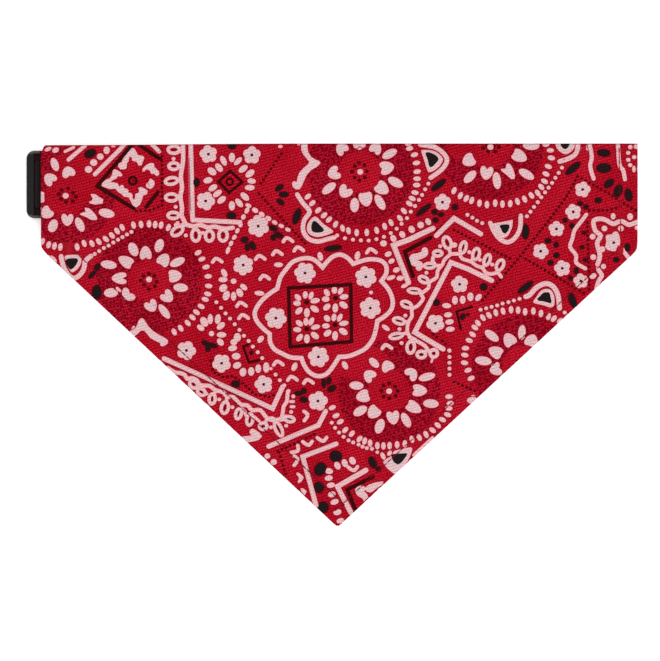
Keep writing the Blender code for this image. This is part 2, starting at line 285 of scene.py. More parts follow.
def fold_cloth(x, y):
    """Fold a point of the flat cut to where it lies."""
    hem, beyond = hem_under(x, y)
    if hem:
        outward = HEMS[hem][1]
        over = min(beyond, HEM_ARC)
        under = max(beyond - HEM_ARC, 0.0)
        reach = HEM_R * math.sin(over / HEM_R) - under
        drop = HEM_R * (1.0 - math.cos(over / HEM_R))
        x += outward.x * (reach - beyond)
        y += outward.y * (reach - beyond)
        z = front_z(x, y) - drop
        x, y = soften_corners(draw_in(x, (y - FOLD_MID_Y) / FOLD_ARC), y)
        return Vector((x, y, z))
    turned = (y - FOLD_MID_Y) / FOLD_ARC
    if y <= FOLD_MID_Y:
        z = front_z(x, y)
        x, y = soften_corners(draw_in(x, turned), y)
        return Vector((x, y, z))
    if turned >= 1.0:
        back_y = 2 * FOLD_MID_Y + FOLD_ARC - y
        return Vector((draw_in(x, turned), back_y, flap_z(x, back_y)))
    top = front_z(x, FOLD_MID_Y)
    bottom = flap_z(x, FOLD_MID_Y)
    turn = math.pi * (0.5 - turned)
    depth = FOLD_DEPTH + (WALL - CLOTH_T) / 2 - 0.75 * ramp(-x, 10.0, 115.0)
    return Vector((
        draw_in(x, turned),
        FOLD_MID_Y + depth * math.cos(turn),
        (top + bottom) / 2 + (top - bottom) / 2 * math.sin(turn),
    ))


def crossing(p, along, q, way):
    """Where two lines cross."""
    t = (q - p).cross(way) / along.cross(way)
    return p + along * t


def flat_hem_corner(name, plan):
    """The flat place of a hem's point that ends up under plan."""
    point, outward, _ = HEMS[name]
    depth = (point - plan).dot(outward)
    return plan + outward * (2 * depth + HEM_ARC)


def inner_corner(one, other, depth_one, depth_other):
    """Where the lines at those depths inside two folds cross."""
    p, out_p, _ = HEMS[one]
    q, out_q, _ = HEMS[other]
    p_line = p - out_p * depth_one
    q_line = q - out_q * depth_other
    return crossing(p_line, Vector((-out_p.y, out_p.x)), q_line, Vector((-out_q.y, out_q.x)))


def flat_outline():
    """The flat cut with its hem allowances, mitred at the corners, and the strip that folds to the back."""
    outline = []
    around = ("left_end", "left_diagonal", "right_diagonal", "right_end")
    for one, other in zip(around, around[1:]):
        corner = inner_corner(one, other, 0.0, 0.0)
        inside = inner_corner(one, other, HEMS[one][2] - EDGE_IN, HEMS[other][2] - EDGE_IN)
        outline += [
            flat_hem_corner(one, inside),
            corner + HEMS[one][1] * HEM_ARC,
            corner,
            corner + HEMS[other][1] * HEM_ARC,
            flat_hem_corner(other, inside),
        ]
    flap_end = 2 * FOLD_MID_Y + FOLD_ARC - FLAP_EDGE_Y
    right_fold = CLOTH_RIGHT_X - EDGE_IN
    left_fold = CLOTH_LEFT_X + EDGE_IN
    outline += [
        Vector((right_fold + HEM_ARC + RIGHT_END_HEM - EDGE_IN, HEM_TOP_Y - 0.3)),
        Vector((right_fold, HEM_TOP_Y - 0.3)),
        Vector((CLOTH_RIGHT_X, HEM_TOP_Y)),
        Vector((CLOTH_RIGHT_X, flap_end)),
        Vector((CLOTH_LEFT_X, flap_end)),
        Vector((CLOTH_LEFT_X, HEM_TOP_Y)),
        Vector((left_fold, HEM_TOP_Y - 0.3)),
        Vector((left_fold - HEM_ARC - LEFT_END_HEM + EDGE_IN, HEM_TOP_Y - 0.3)),
    ]
    return outline


# ---------------------------------------------------------------- the print, charted in millimetres

# Wheels: centre; hearts (x, y, bearing outwards, length, width, notch); petals (x, y, length, width, tilt);
# beads (x, y, tilt); radius of the stippled ground.  A tilt of None points at the centre.
WHEELS = (
    (
        (-113.0, 59.4),
        ((-112.1, 69.4, 108, 4.7, 5.8, 0.6), (-120.0, 66.4, 137, 5.2, 5.6, 1.0),
         (-124.7, 58.6, 182, 5.2, 4.9, 0.1), (-121.3, 51.9, 222, 5.0, 5.6, 0.4),
         (-112.5, 49.0, 268, 5.2, 5.2, 1.2)),
        ((-117.8, 72.5, 6.0, 3.3, None), (-118.6, 46.5, 5.8, 4.0, None), (-107.2, 47.0, 6.6, 3.5, None),
         (-95.8, 51.8, 7.0, 3.8, -12)),
        ((-123.2, 39.8, None), (-120.5, 38.4, None), (-118.0, 37.9, None), (-115.5, 37.5, None),
         (-108.4, 37.5, None), (-105.4, 39.0, None), (-102.1, 39.0, None), (-99.2, 39.8, None)),
        20.5,
    ),
    (
        (-77.9, 23.4),
        ((-79.3, 35.1, 93, 5.8, 5.2, 0.9), (-71.5, 32.2, 58, 5.7, 5.5, 0.3),
         (-66.7, 25.2, 5, 5.7, 5.5, 0.1), (-70.0, 16.3, 317, 5.4, 5.6, 1.2),
         (-76.9, 12.3, 300, 5.2, 5.6, 1.2), (-87.0, 16.9, 226, 4.3, 6.7, 0.9),
         (-90.6, 24.2, 180, 6.5, 5.2, 1.8), (-87.9, 31.5, 150, 6.7, 5.0, 0.3)),
        ((-84.5, 36.5, 6.2, 4.0, 115), (-95.0, 30.0, 7.0, 3.7, -8), (-94.0, 18.0, 6.2, 4.0, 5),
         (-73.5, 38.1, 5.9, 3.8, 70), (-65.8, 31.1, 7.0, 3.6, 25), (-64.4, 20.2, 6.4, 3.7, -5),
         (-71.4, 10.0, 7.4, 3.2, -53)),
        ((-96.2, 40.9, None), (-93.6, 42.4, None), (-91.4, 44.3, None), (-89.2, 45.8, None),
         (-84.4, 46.8, None), (-81.2, 47.1, None), (-77.8, 47.3, None), (-75.2, 47.0, None),
         (-72.7, 46.8, None), (-69.6, 45.8, None), (-57.0, 35.1, None), (-55.4, 32.4, None),
         (-53.6, 29.0, None), (-52.7, 25.0, None), (-52.5, 20.9, None), (-52.9, 17.5, None),
         (-54.0, 15.2, None), (-55.7, 12.2, None), (-57.7, 9.7, None), (-59.4, 7.5, None),
         (-61.4, 5.1, None), (-64.4, 2.9, None), (-67.2, 1.3, None)),
        22.6,
    ),
    (
        (11.8, 69.5),
        ((4.0, 79.2, 132, 4.9, 5.6, 1.0), (11.6, 82.0, 95, 5.0, 5.6, 0.8), (18.7, 79.4, 62, 4.9, 5.4, 0.9),
         (23.4, 71.2, 12, 6.1, 5.9, 0.9), (21.4, 62.3, 322, 6.2, 5.7, 0.4),
         (14.4, 57.7, 280, 6.2, 6.0, 0.15), (5.5, 60.9, 234, 5.3, 6.1, 1.4),
         (0.7, 68.8, 203, 5.3, 6.0, 1.3)),
        ((-1.3, 62.4, 7.1, 3.6, 38), (9.6, 55.3, 6.2, 3.9, 88), (20.4, 56.5, 7.4, 3.6, -60),
         (27.0, 65.0, 7.2, 3.8, -29), (24.5, 77.0, 7.0, 3.6, 28)),
        ((-10.3, 58.9, 40), (-8.4, 56.1, 42), (-5.9, 53.1, 42), (-3.4, 51.0, 40), (-1.3, 49.2, 45),
         (1.5, 47.2, 65), (4.5, 45.5, -75), (7.0, 44.4, -80), (10.5, 43.6, 90), (14.8, 43.7, 90),
         (19.0, 44.6, -75), (22.4, 46.3, -75), (25.1, 47.9, -65), (28.9, 49.8, -50), (30.6, 52.8, -45),
         (32.9, 55.9, -35), (34.1, 58.1, -25), (35.3, 60.6, -10), (36.0, 63.8, 0), (36.2, 66.5, 0),
         (36.2, 69.5, 10), (35.9, 73.2, 10), (35.1, 76.6, 15), (33.0, 79.3, 10), (32.5, 81.3, 10)),
        22.8,
    ),
    (
        (67.5, 80.3),
        ((58.0, 74.2, 208, 5.5, 5.7, 0.2), (65.7, 68.9, 262, 5.9, 5.7, 1.4),
         (79.9, 76.0, 332, 6.6, 5.3, 0.3)),
        ((58.7, 67.3, 6.8, 3.6, 45), (70.1, 65.7, 7.4, 3.6, -83), (82.7, 68.4, 7.4, 3.6, -31),
         (84.7, 80.7, 7.3, 4.2, -3)),
        ((51.9, 61.4, 65), (54.6, 59.3, 65), (57.1, 58.1, 60), (59.4, 57.2, 70), (62.7, 56.1, 85),
         (65.9, 55.5, 90), (69.4, 56.1, 90), (72.5, 55.7, 90), (75.8, 55.9, 85), (78.9, 56.8, -70),
         (81.9, 57.8, -65), (84.8, 59.4, -55), (87.5, 60.4, -55), (89.0, 63.0, -50), (90.4, 65.4, -30),
         (91.0, 68.5, -25), (92.0, 71.7, -20), (93.3, 75.3, -10), (92.9, 78.5, 0), (91.0, 81.0, 0)),
        22.5,
    ),
    (
        (24.3, -23.9),
        ((23.5, -13.1, 116, 4.8, 5.6, 0.3), (34.0, -16.4, 42, 4.6, 6.3, 1.2),
         (37.4, -23.6, 356, 6.3, 5.2, 0.8), (35.0, -30.9, 330, 7.0, 5.0, 0.4),
         (26.0, -35.2, 278, 5.9, 5.6, 0.9), (17.6, -33.0, 228, 5.7, 5.7, 0.15),
         (13.0, -26.1, 195, 5.8, 5.5, 0.2), (15.8, -17.2, 140, 5.0, 5.7, 0.9)),
        ((10.4, -21.5, 6.2, 3.6, -5), (12.0, -32.3, 6.6, 3.8, 30), (20.3, -38.8, 6.6, 4.0, 70),
         (17.9, -11.8, 5.4, 3.2, -45), (31.5, -36.2, 7.0, 3.5, -62), (42.1, -29.2, 6.8, 3.8, -3),
         (40.4, -17.8, 7.4, 3.4, 15)),
        ((0.1, -30.9, 25), (1.7, -34.3, 25), (3.5, -36.9, 30), (5.6, -40.4, 45), (8.4, -42.0, 50),
         (11.7, -44.2, 50), (13.9, -45.1, 75), (16.2, -46.0, 90), (19.3, -47.1, 90), (21.9, -47.2, 90),
         (24.5, -47.1, 90), (27.7, -46.7, 90), (31.0, -46.3, 90), (34.0, -44.4, -75), (37.1, -43.6, -60),
         (40.0, -42.3, -65), (42.8, -40.5, -35), (45.0, -38.4, -40), (47.0, -36.0, -25), (49.2, -33.9, -20),
         (49.7, -31.2, 0), (50.3, -29.0, 10), (49.8, -26.2, 5)),
        21.8,
    ),
    (
        (81.5, -13.5),
        ((85.0, -2.3, 68, 5.5, 5.8, 0.3), (75.4, -1.9, 120, 5.9, 5.6, 0.4),
         (69.5, -7.2, 154, 6.2, 5.3, 0.3), (69.5, -14.6, 200, 5.0, 5.8, 0.8)),
        ((68.0, -0.3, 7.2, 3.6, -38), (80.8, 1.1, 6.5, 3.3, 84), (64.4, -11.0, 7.2, 3.8, -8)),
        ((57.9, -15.0, 20), (59.2, -18.4, 25), (56.4, -11.8, -10), (56.5, -8.5, -10), (56.8, -5.6, 0),
         (58.4, -2.3, -20), (59.8, 0.3, -35), (60.8, 3.2, -35), (62.1, 5.1, -50), (64.2, 7.4, -55),
         (66.8, 8.4, -55), (69.7, 9.5, -75), (72.8, 10.2, -75), (76.2, 10.8, 90), (79.2, 10.6, 90),
         (82.2, 9.9, 90), (85.7, 10.2, 90), (88.9, 9.2, 85), (92.1, 7.9, 75), (94.4, 7.0, 50),
         (97.0, 6.0, 45)),
        22.0,
    ),
)

# Small white dots outside the bead rings, and elsewhere: x, y
PEARLS = (
    (-85.3, 43.9), (-87.2, 42.8), (-89.1, 41.7), (-91.0, 40.6), (-93.0, 39.4), (-95.0, 38.1), (-97.0, 37.1),
    (-99.0, 35.8), (-100.9, 34.6), (-102.8, 33.3), (-104.5, 32.3), (2.2, 42.4), (5.5, 41.2), (8.9, 40.6),
    (12.3, 40.3), (15.6, 40.2), (18.9, 40.8), (22.1, 41.8), (25.0, 43.4), (27.5, 45.3), (29.6, 47.4),
    (31.9, 49.8), (33.5, 52.5), (35.3, 54.9), (37.0, 57.5), (38.3, 59.6), (39.6, 62.0), (41.0, 64.4),
    (97.8, 71.2), (96.4, 69.0), (95.0, 66.9), (93.6, 64.7), (92.1, 62.7), (90.6, 60.7), (89.0, 58.6),
    (87.5, 56.5), (85.9, 54.5), (84.4, 52.5), (82.9, 50.6), (57.6, 51.2), (59.7, 50.0), (61.7, 48.7),
    (63.9, 47.7), (-0.1, -37.3), (1.3, -39.5), (3.0, -41.5), (4.9, -43.3), (7.0, -44.8), (9.0, -45.7),
    (11.3, -46.6), (13.0, -47.5), (14.8, -48.1), (17.0, -48.4), (50.0, -6.7), (50.0, -9.3), (50.0, -11.8),
    (50.0, -14.3), (50.0, -16.9), (63.2, 10.8), (65.6, 11.4), (67.9, 12.0), (70.3, 12.6), (72.6, 13.4),
    (75.1, 14.0), (77.4, 14.7), (79.8, 15.4), (99.0, 9.6), (-67.4, 74.9), (-66.5, 54.5), (-65.7, 47.7),
    (-62.2, 42.4), (-55.0, 43.5), (40.2, 26.5), (31.2, 8.3), (28.7, 2.5), (29.6, -3.4), (43.0, 32.3),
    (46.0, 37.8), (58.4, 35.3), (63.0, 32.0), (68.2, 30.0), (-53.5, -25.0), (-48.0, -27.4), (-42.4, -30.7),
    (-26.0, -39.3), (-59.4, -22.3), (-18.5, -23.8), (-16.5, -26.1), (-17.4, -32.7), (-19.5, -38.6),
    (-20.3, -21.4), (-49.2, 14.0), (-47.2, 11.6), (-45.3, 9.2), (-43.4, 7.0), (-41.4, 4.6), (-39.4, 2.2),
    (-37.5, -0.3), (-35.5, -2.5), (-33.7, -4.9), (-31.6, -7.3), (-29.7, -9.8), (-24.0, -16.8),
    (-22.2, -19.2), (16.6, 18.1), (49.9, -6.5),
)

# Flowers: x, y, radius, petals
FLOWERS = (
    (-52.6, 76.9, 3.8, 5), (-34.1, 76.5, 3.8, 5), (-53.8, 57.0, 4.0, 5), (47.0, 56.5, 3.6, 5),
    (106.6, 61.9, 3.4, 5), (102.6, 52.4, 3.4, 5), (95.5, 45.2, 3.4, 5), (88.8, 35.7, 3.4, 5),
    (98.0, 28.4, 3.5, 5), (105.9, 23.0, 3.2, 5), (54.3, 21.6, 3.7, 5), (44.0, 5.0, 3.9, 5),
    (-62.0, -6.6, 4.1, 5), (-47.0, -12.0, 4.0, 5), (-29.1, -21.0, 3.9, 5), (-6.0, -28.1, 4.2, 5),
    (119.9, 39.3, 2.4, 5), (-31.4, 46.4, 4.7, 6), (-37.8, 29.8, 4.4, 6), (-11.5, 26.4, 4.6, 6),
    (-23.9, 7.2, 4.6, 6), (-5.8, -9.3, 4.5, 6), (14.4, 24.7, 4.6, 6), (16.3, 11.5, 4.6, 6),
)

# The medallion's scalloped line, one scallop a row; each starts at a cusp
MEDALLION = (
    ((-23.3, 19.8), (-22.0, 24.5), (-19.5, 28.0), (-16.5, 31.3), (-11.5, 32.8), (-7.5, 32.0)),
    ((-4.0, 28.8), (-2.0, 31.3), (0.5, 33.5), (3.5, 34.3), (6.5, 33.0)),
    ((9.0, 30.3), (12.5, 31.5), (16.0, 32.3), (20.5, 31.8), (23.0, 29.5), (23.0, 26.0)),
    ((21.0, 23.0), (24.0, 19.5), (25.8, 15.0), (25.3, 11.0), (22.5, 8.0)),
    ((19.3, 6.0), (18.8, 3.0), (17.5, -1.5), (14.5, -5.5), (11.0, -7.5), (7.0, -9.0)),
    ((3.0, -9.3), (1.0, -12.5), (-1.5, -15.8), (-4.0, -17.3), (-7.0, -17.3), (-10.0, -15.5), (-12.0, -12.5)),
    ((-13.0, -9.8), (-17.5, -9.5), (-21.0, -8.0), (-24.5, -6.0), (-26.3, -3.0)),
    ((-26.5, 0.5), (-29.5, 3.0), (-32.3, 6.5), (-32.8, 10.0), (-30.5, 14.0), (-27.0, 17.3)),
)

# The corners of the black square in the medallion
SQUARE = ((-18.5, 20.0), (8.0, 21.5), (8.3, -2.8), (-17.8, -5.0))

# The four daisies in the square: centre, then petals (x, y, length, width, tilt)
DAISIES = (
    (
        (-10.8, 13.9),
        ((-11.4, 17.1, 3.2, 2.3, 85), (-8.9, 16.8, 3.6, 2.1, 70), (-14.5, 16.0, 3.5, 2.3, -45),
         (-14.9, 13.5, 3.4, 2.4, -5), (-14.1, 10.3, 3.9, 2.5, 45), (-7.2, 14.6, 4.2, 2.4, 12),
         (-7.4, 11.1, 4.2, 2.6, -33), (-10.7, 9.5, 4.1, 2.6, 88)),
    ),
    (
        (1.5, 15.8),
        ((1.0, 19.1, 3.2, 2.5, 90), (3.6, 18.7, 3.3, 2.1, 60), (-2.2, 18.0, 3.5, 2.4, -58),
         (-2.7, 15.3, 3.4, 2.5, 0), (5.1, 16.3, 3.9, 2.4, 10), (-2.2, 11.9, 3.7, 2.5, 40),
         (1.4, 11.5, 4.0, 2.6, 88), (4.9, 12.8, 4.2, 2.7, -35)),
    ),
    (
        (-10.7, 2.6),
        ((-11.1, 5.7, 3.5, 2.3, 90), (-8.8, 5.8, 3.9, 2.2, 65), (-13.9, 5.0, 3.6, 2.4, -38),
         (-14.8, 2.3, 3.6, 2.3, -5), (-7.0, 3.4, 4.1, 2.2, 12), (-13.8, -1.1, 3.8, 2.4, 50),
         (-10.7, -1.6, 4.0, 2.6, 88), (-7.3, -0.2, 4.1, 2.6, -38)),
    ),
    (
        (1.3, 4.4),
        ((0.8, 7.5, 3.4, 2.2, 80), (3.3, 7.4, 3.8, 2.1, 62), (-2.1, 7.1, 3.2, 2.6, -45),
         (5.0, 5.0, 4.2, 2.3, 10), (-2.6, 3.9, 3.4, 2.3, 0), (-1.9, 0.8, 3.8, 2.6, 35),
         (1.3, -0.3, 4.1, 2.6, 88), (4.8, 1.5, 4.2, 2.7, -33)),
    ),
)

# Little two-lobed chevrons: x, y, turn
CHEVRONS = (
    (-18.7, 40.5, 0), (-30.5, 33.0, 0), (-23.2, 35.0, 0), (-14.1, 36.6, 0), (-28.6, 24.5, 0),
    (-48.8, 31.8, 0), (-38.5, 13.0, 0), (-37.6, 7.8, 0), (16.8, 35.8, 0), (23.4, -5.0, 0),
    (-22.8, -12.0, 0), (-16.8, -18.5, 0), (-10.0, -19.8, 0), (-10.5, -46.0, 180), (-4.3, -44.3, 180),
    (8.8, -56.8, 180), (-11.2, -34.5, -90), (-15.5, -53.5, -90), (-15.5, -49.0, -135),
)

# White lines with straight runs: width, points
WHITE_LINES = (
    (2.0, (-60.2, 85.0), (-59.3, 48.8)),
    (2.0, (-59.3, 49.0), (-39.2, 48.0), (-39.0, 46.8)),
    (1.8, (-77.0, 81.5), (-73.5, 78.0)),
    (1.9, (-100.8, 68.3), (-90.0, 79.0), (-88.0, 81.5)),
    (1.8, (-112.0, 74.5), (-108.5, 77.5), (-105.0, 80.5)),
    (1.4, (-113.5, 78.0), (-109.8, 79.8)),
    (2.2, (44.4, 42.3), (51.9, 49.7), (63.3, 43.0)),
    (2.3, (43.0, 45.5), (32.8, 40.6), (26.2, 38.2), (32.6, 22.3)),
    (2.2, (68.0, 23.2), (57.9, 28.1), (50.6, 30.9), (35.2, 1.2), (47.3, -6.0)),
    (2.1, (-71.5, -10.0), (-25.3, -31.3), (-21.0, -22.0)),
    (2.1, (-27.0, -47.4), (-5.8, -38.4), (-2.7, -32.4)),
    (1.7, (-18.8, -24.0), (-19.2, -28.3), (-20.6, -30.4), (-21.0, -33.2), (-21.4, -35.3)),
    (1.7, (-27.6, -35.6), (-25.5, -35.4), (-23.8, -36.2), (-21.4, -35.4), (-19.5, -34.6)),
    (1.4, (-17.6, -28.3), (-16.4, -28.3)),
    (1.4, (-17.4, -30.5), (-16.2, -30.5)),
    (2.1, (1.8, -46.3), (-12.5, -51.8), (-6.8, -72.5)),
    (2.2, (14.5, -57.5), (2.3, -64.5), (8.0, -75.5)),
    (1.8, (123.5, 36.5), (126.5, 32.5)),
    (1.0, (43.0, -9.5), (42.3, -11.5)),
    (1.3, (34.7, -51.1), (42.8, -43.6)),
    (1.3, (-33.0, -34.8), (-31.0, -36.7)),
    (1.2, (-91.5, 20.0), (-90.2, 18.8)),
)

# White lines that bend smoothly: width, points
WHITE_CURVES = (
    (1.9, (-63.5, 84.0), (-63.3, 75.0), (-64.0, 70.0), (-64.3, 67.0), (-63.8, 62.5), (-64.5, 59.0),
     (-63.8, 54.0), (-64.0, 51.0), (-62.5, 47.8)),
    (1.9, (-66.0, 45.0), (-63.0, 47.0), (-59.0, 46.3), (-56.0, 46.9), (-53.0, 45.8), (-50.0, 46.2),
     (-46.0, 45.3), (-42.2, 45.7)),
    (2.9, (39.5, 36.0), (39.3, 34.7), (36.8, 33.5), (34.6, 33.1), (34.2, 31.2), (37.2, 30.0), (37.0, 28.7)),
    (1.6, (50.5, 34.5), (47.8, 32.0), (47.0, 30.0), (45.0, 27.5), (44.5, 24.5), (41.5, 22.5),
     (41.0, 20.0), (38.0, 17.5), (38.8, 15.5), (36.5, 12.5), (34.0, 11.0), (34.0, 8.0), (32.5, 5.5),
     (32.0, 2.0), (33.0, -0.5), (35.5, -2.0)),
    (1.6, (50.5, 34.5), (54.0, 34.5), (55.5, 32.5), (59.0, 31.3), (61.5, 29.5), (64.0, 28.5),
     (65.5, 26.5), (68.0, 26.0), (70.5, 26.5), (72.0, 24.8)),
    (1.8, (109.0, 84.0), (110.5, 76.0), (109.8, 72.5), (110.3, 69.5), (111.3, 66.5)),
    (1.8, (121.5, 84.0), (122.2, 72.8), (123.7, 70.4), (124.2, 68.4), (124.6, 66.2)),
    (1.7, (108.2, 51.3), (106.0, 48.4), (103.2, 44.6), (102.3, 41.0), (101.3, 37.5), (103.9, 34.0),
     (103.9, 30.8), (107.8, 28.3)),
    (2.0, (132.0, 48.8), (130.0, 48.3), (126.4, 47.0), (123.6, 48.4), (121.5, 48.1), (119.5, 47.4),
     (115.5, 49.4), (111.4, 48.8), (112.0, 44.5), (114.3, 42.3), (112.8, 39.0), (114.0, 34.0), (113.0, 30.0)),
    (1.9, (113.1, 28.1), (114.3, 26.4), (114.8, 25.2), (113.7, 23.4), (113.0, 21.6), (112.4, 19.0)),
    (2.8, (-38.5, -44.6), (-34.0, -44.0), (-31.5, -43.0), (-33.8, -41.2)),
    (1.8, (-70.0, -13.9), (-67.0, -15.8), (-64.5, -16.2), (-62.7, -17.0), (-61.6, -18.6), (-59.8, -18.3),
     (-57.6, -19.2), (-56.2, -21.2), (-54.3, -21.5), (-52.0, -21.7), (-50.0, -23.2), (-48.4, -23.8),
     (-46.4, -24.3), (-44.6, -26.2), (-42.0, -26.5), (-39.0, -29.5), (-36.0, -30.0), (-34.0, -32.0),
     (-30.5, -32.0), (-27.5, -35.5), (-24.0, -36.5)),
    (1.7, (33.0, -1.0), (36.5, -2.8), (39.5, -4.6), (41.2, -7.0)),
    (1.6, (-38.6, -31.4), (-37.2, -32.7), (-36.6, -34.1)),
    (1.6, (43.0, 33.2), (42.8, 31.1), (44.2, 29.7), (46.0, 29.5)),
    # the outer lines of the teardrops
    (2.1, (-115.2, 33.6), (-114.9, 31.6), (-114.1, 28.9), (-112.6, 26.2), (-110.4, 24.3), (-108.3, 24.8),
     (-106.2, 27.0), (-105.3, 29.4), (-105.2, 31.0), (-104.2, 32.4), (-102.5, 33.7)),
    (2.0, (-14.8, 59.8), (-12.3, 56.0), (-9.5, 52.5), (-11.8, 49.0), (-12.3, 44.5), (-10.0, 41.0),
     (-6.0, 39.8), (-2.0, 40.8), (1.0, 41.5)),
    (2.0, (37.4, 81.0), (42.4, 80.2), (45.6, 78.8), (48.0, 76.5), (48.9, 74.4), (47.9, 71.9), (45.6, 69.5),
     (41.9, 66.9)),
    (2.0, (105.0, 84.0), (104.0, 77.5), (100.5, 75.0), (96.8, 73.8)),
    (2.0, (67.3, 47.8), (69.0, 44.0), (71.5, 40.8), (74.8, 39.5), (78.0, 41.5), (80.0, 45.5), (80.3, 50.8)),
    (2.2, (82.4, 16.3), (83.6, 16.7), (84.9, 17.9), (86.6, 19.8), (88.9, 21.3), (91.5, 21.9), (93.9, 20.8),
     (95.5, 18.6), (96.3, 16.2), (96.6, 13.7), (96.8, 11.4)),
)

# Small loops along the braids: x, y, half length, half width, tilt
LOOPS = (
    (-67.3, 78.8, 3.2, 2.4, 0), (-67.3, 71.8, 2.9, 2.2, 0), (-68.3, 65.5, 3.4, 2.2, 10),
    (-68.3, 58.5, 3.3, 2.3, 0), (-67.5, 50.9, 3.1, 2.1, 0), (-65.8, 44.3, 3.5, 2.4, 35),
    (-58.0, 42.5, 3.3, 2.5, 90), (-52.2, 42.2, 3.0, 2.5, 90), (-46.4, 42.4, 3.2, 2.6, 90),
    (41.5, 29.5, 3.0, 1.8, 0), (39.0, 23.6, 2.8, 2.0, -25), (35.0, 18.8, 3.4, 1.7, -5),
    (31.7, 13.0, 3.0, 2.0, -20), (28.5, 6.0, 3.2, 2.0, -15), (27.3, -0.4, 3.5, 1.8, 10),
    (33.5, -5.2, 3.3, 2.4, 85), (38.0, -8.3, 2.6, 2.2, 0), (43.3, -7.8, 2.4, 2.4, 0),
    (45.0, 34.8, 2.6, 1.9, 0), (49.0, 39.3, 3.4, 2.4, -70), (55.8, 37.3, 3.2, 2.0, 75),
    (61.3, 34.5, 3.2, 2.2, 75), (66.0, 32.0, 3.2, 2.0, 70), (71.5, 29.8, 3.2, 2.2, 65),
    (-58.9, -21.0, 2.6, 2.2, -35), (-55.6, -24.2, 2.6, 2.1, -35), (-51.0, -27.2, 2.9, 2.1, 85),
    (-45.6, -30.9, 3.3, 2.3, 78), (-39.8, -33.5, 3.0, 2.0, 75), (-35.0, -36.0, 3.2, 2.1, 82),
    (-29.3, -38.8, 2.4, 2.2, 0), (-22.8, -40.0, 4.0, 2.1, -65), (-18.1, -35.8, 2.8, 1.9, -10),
)

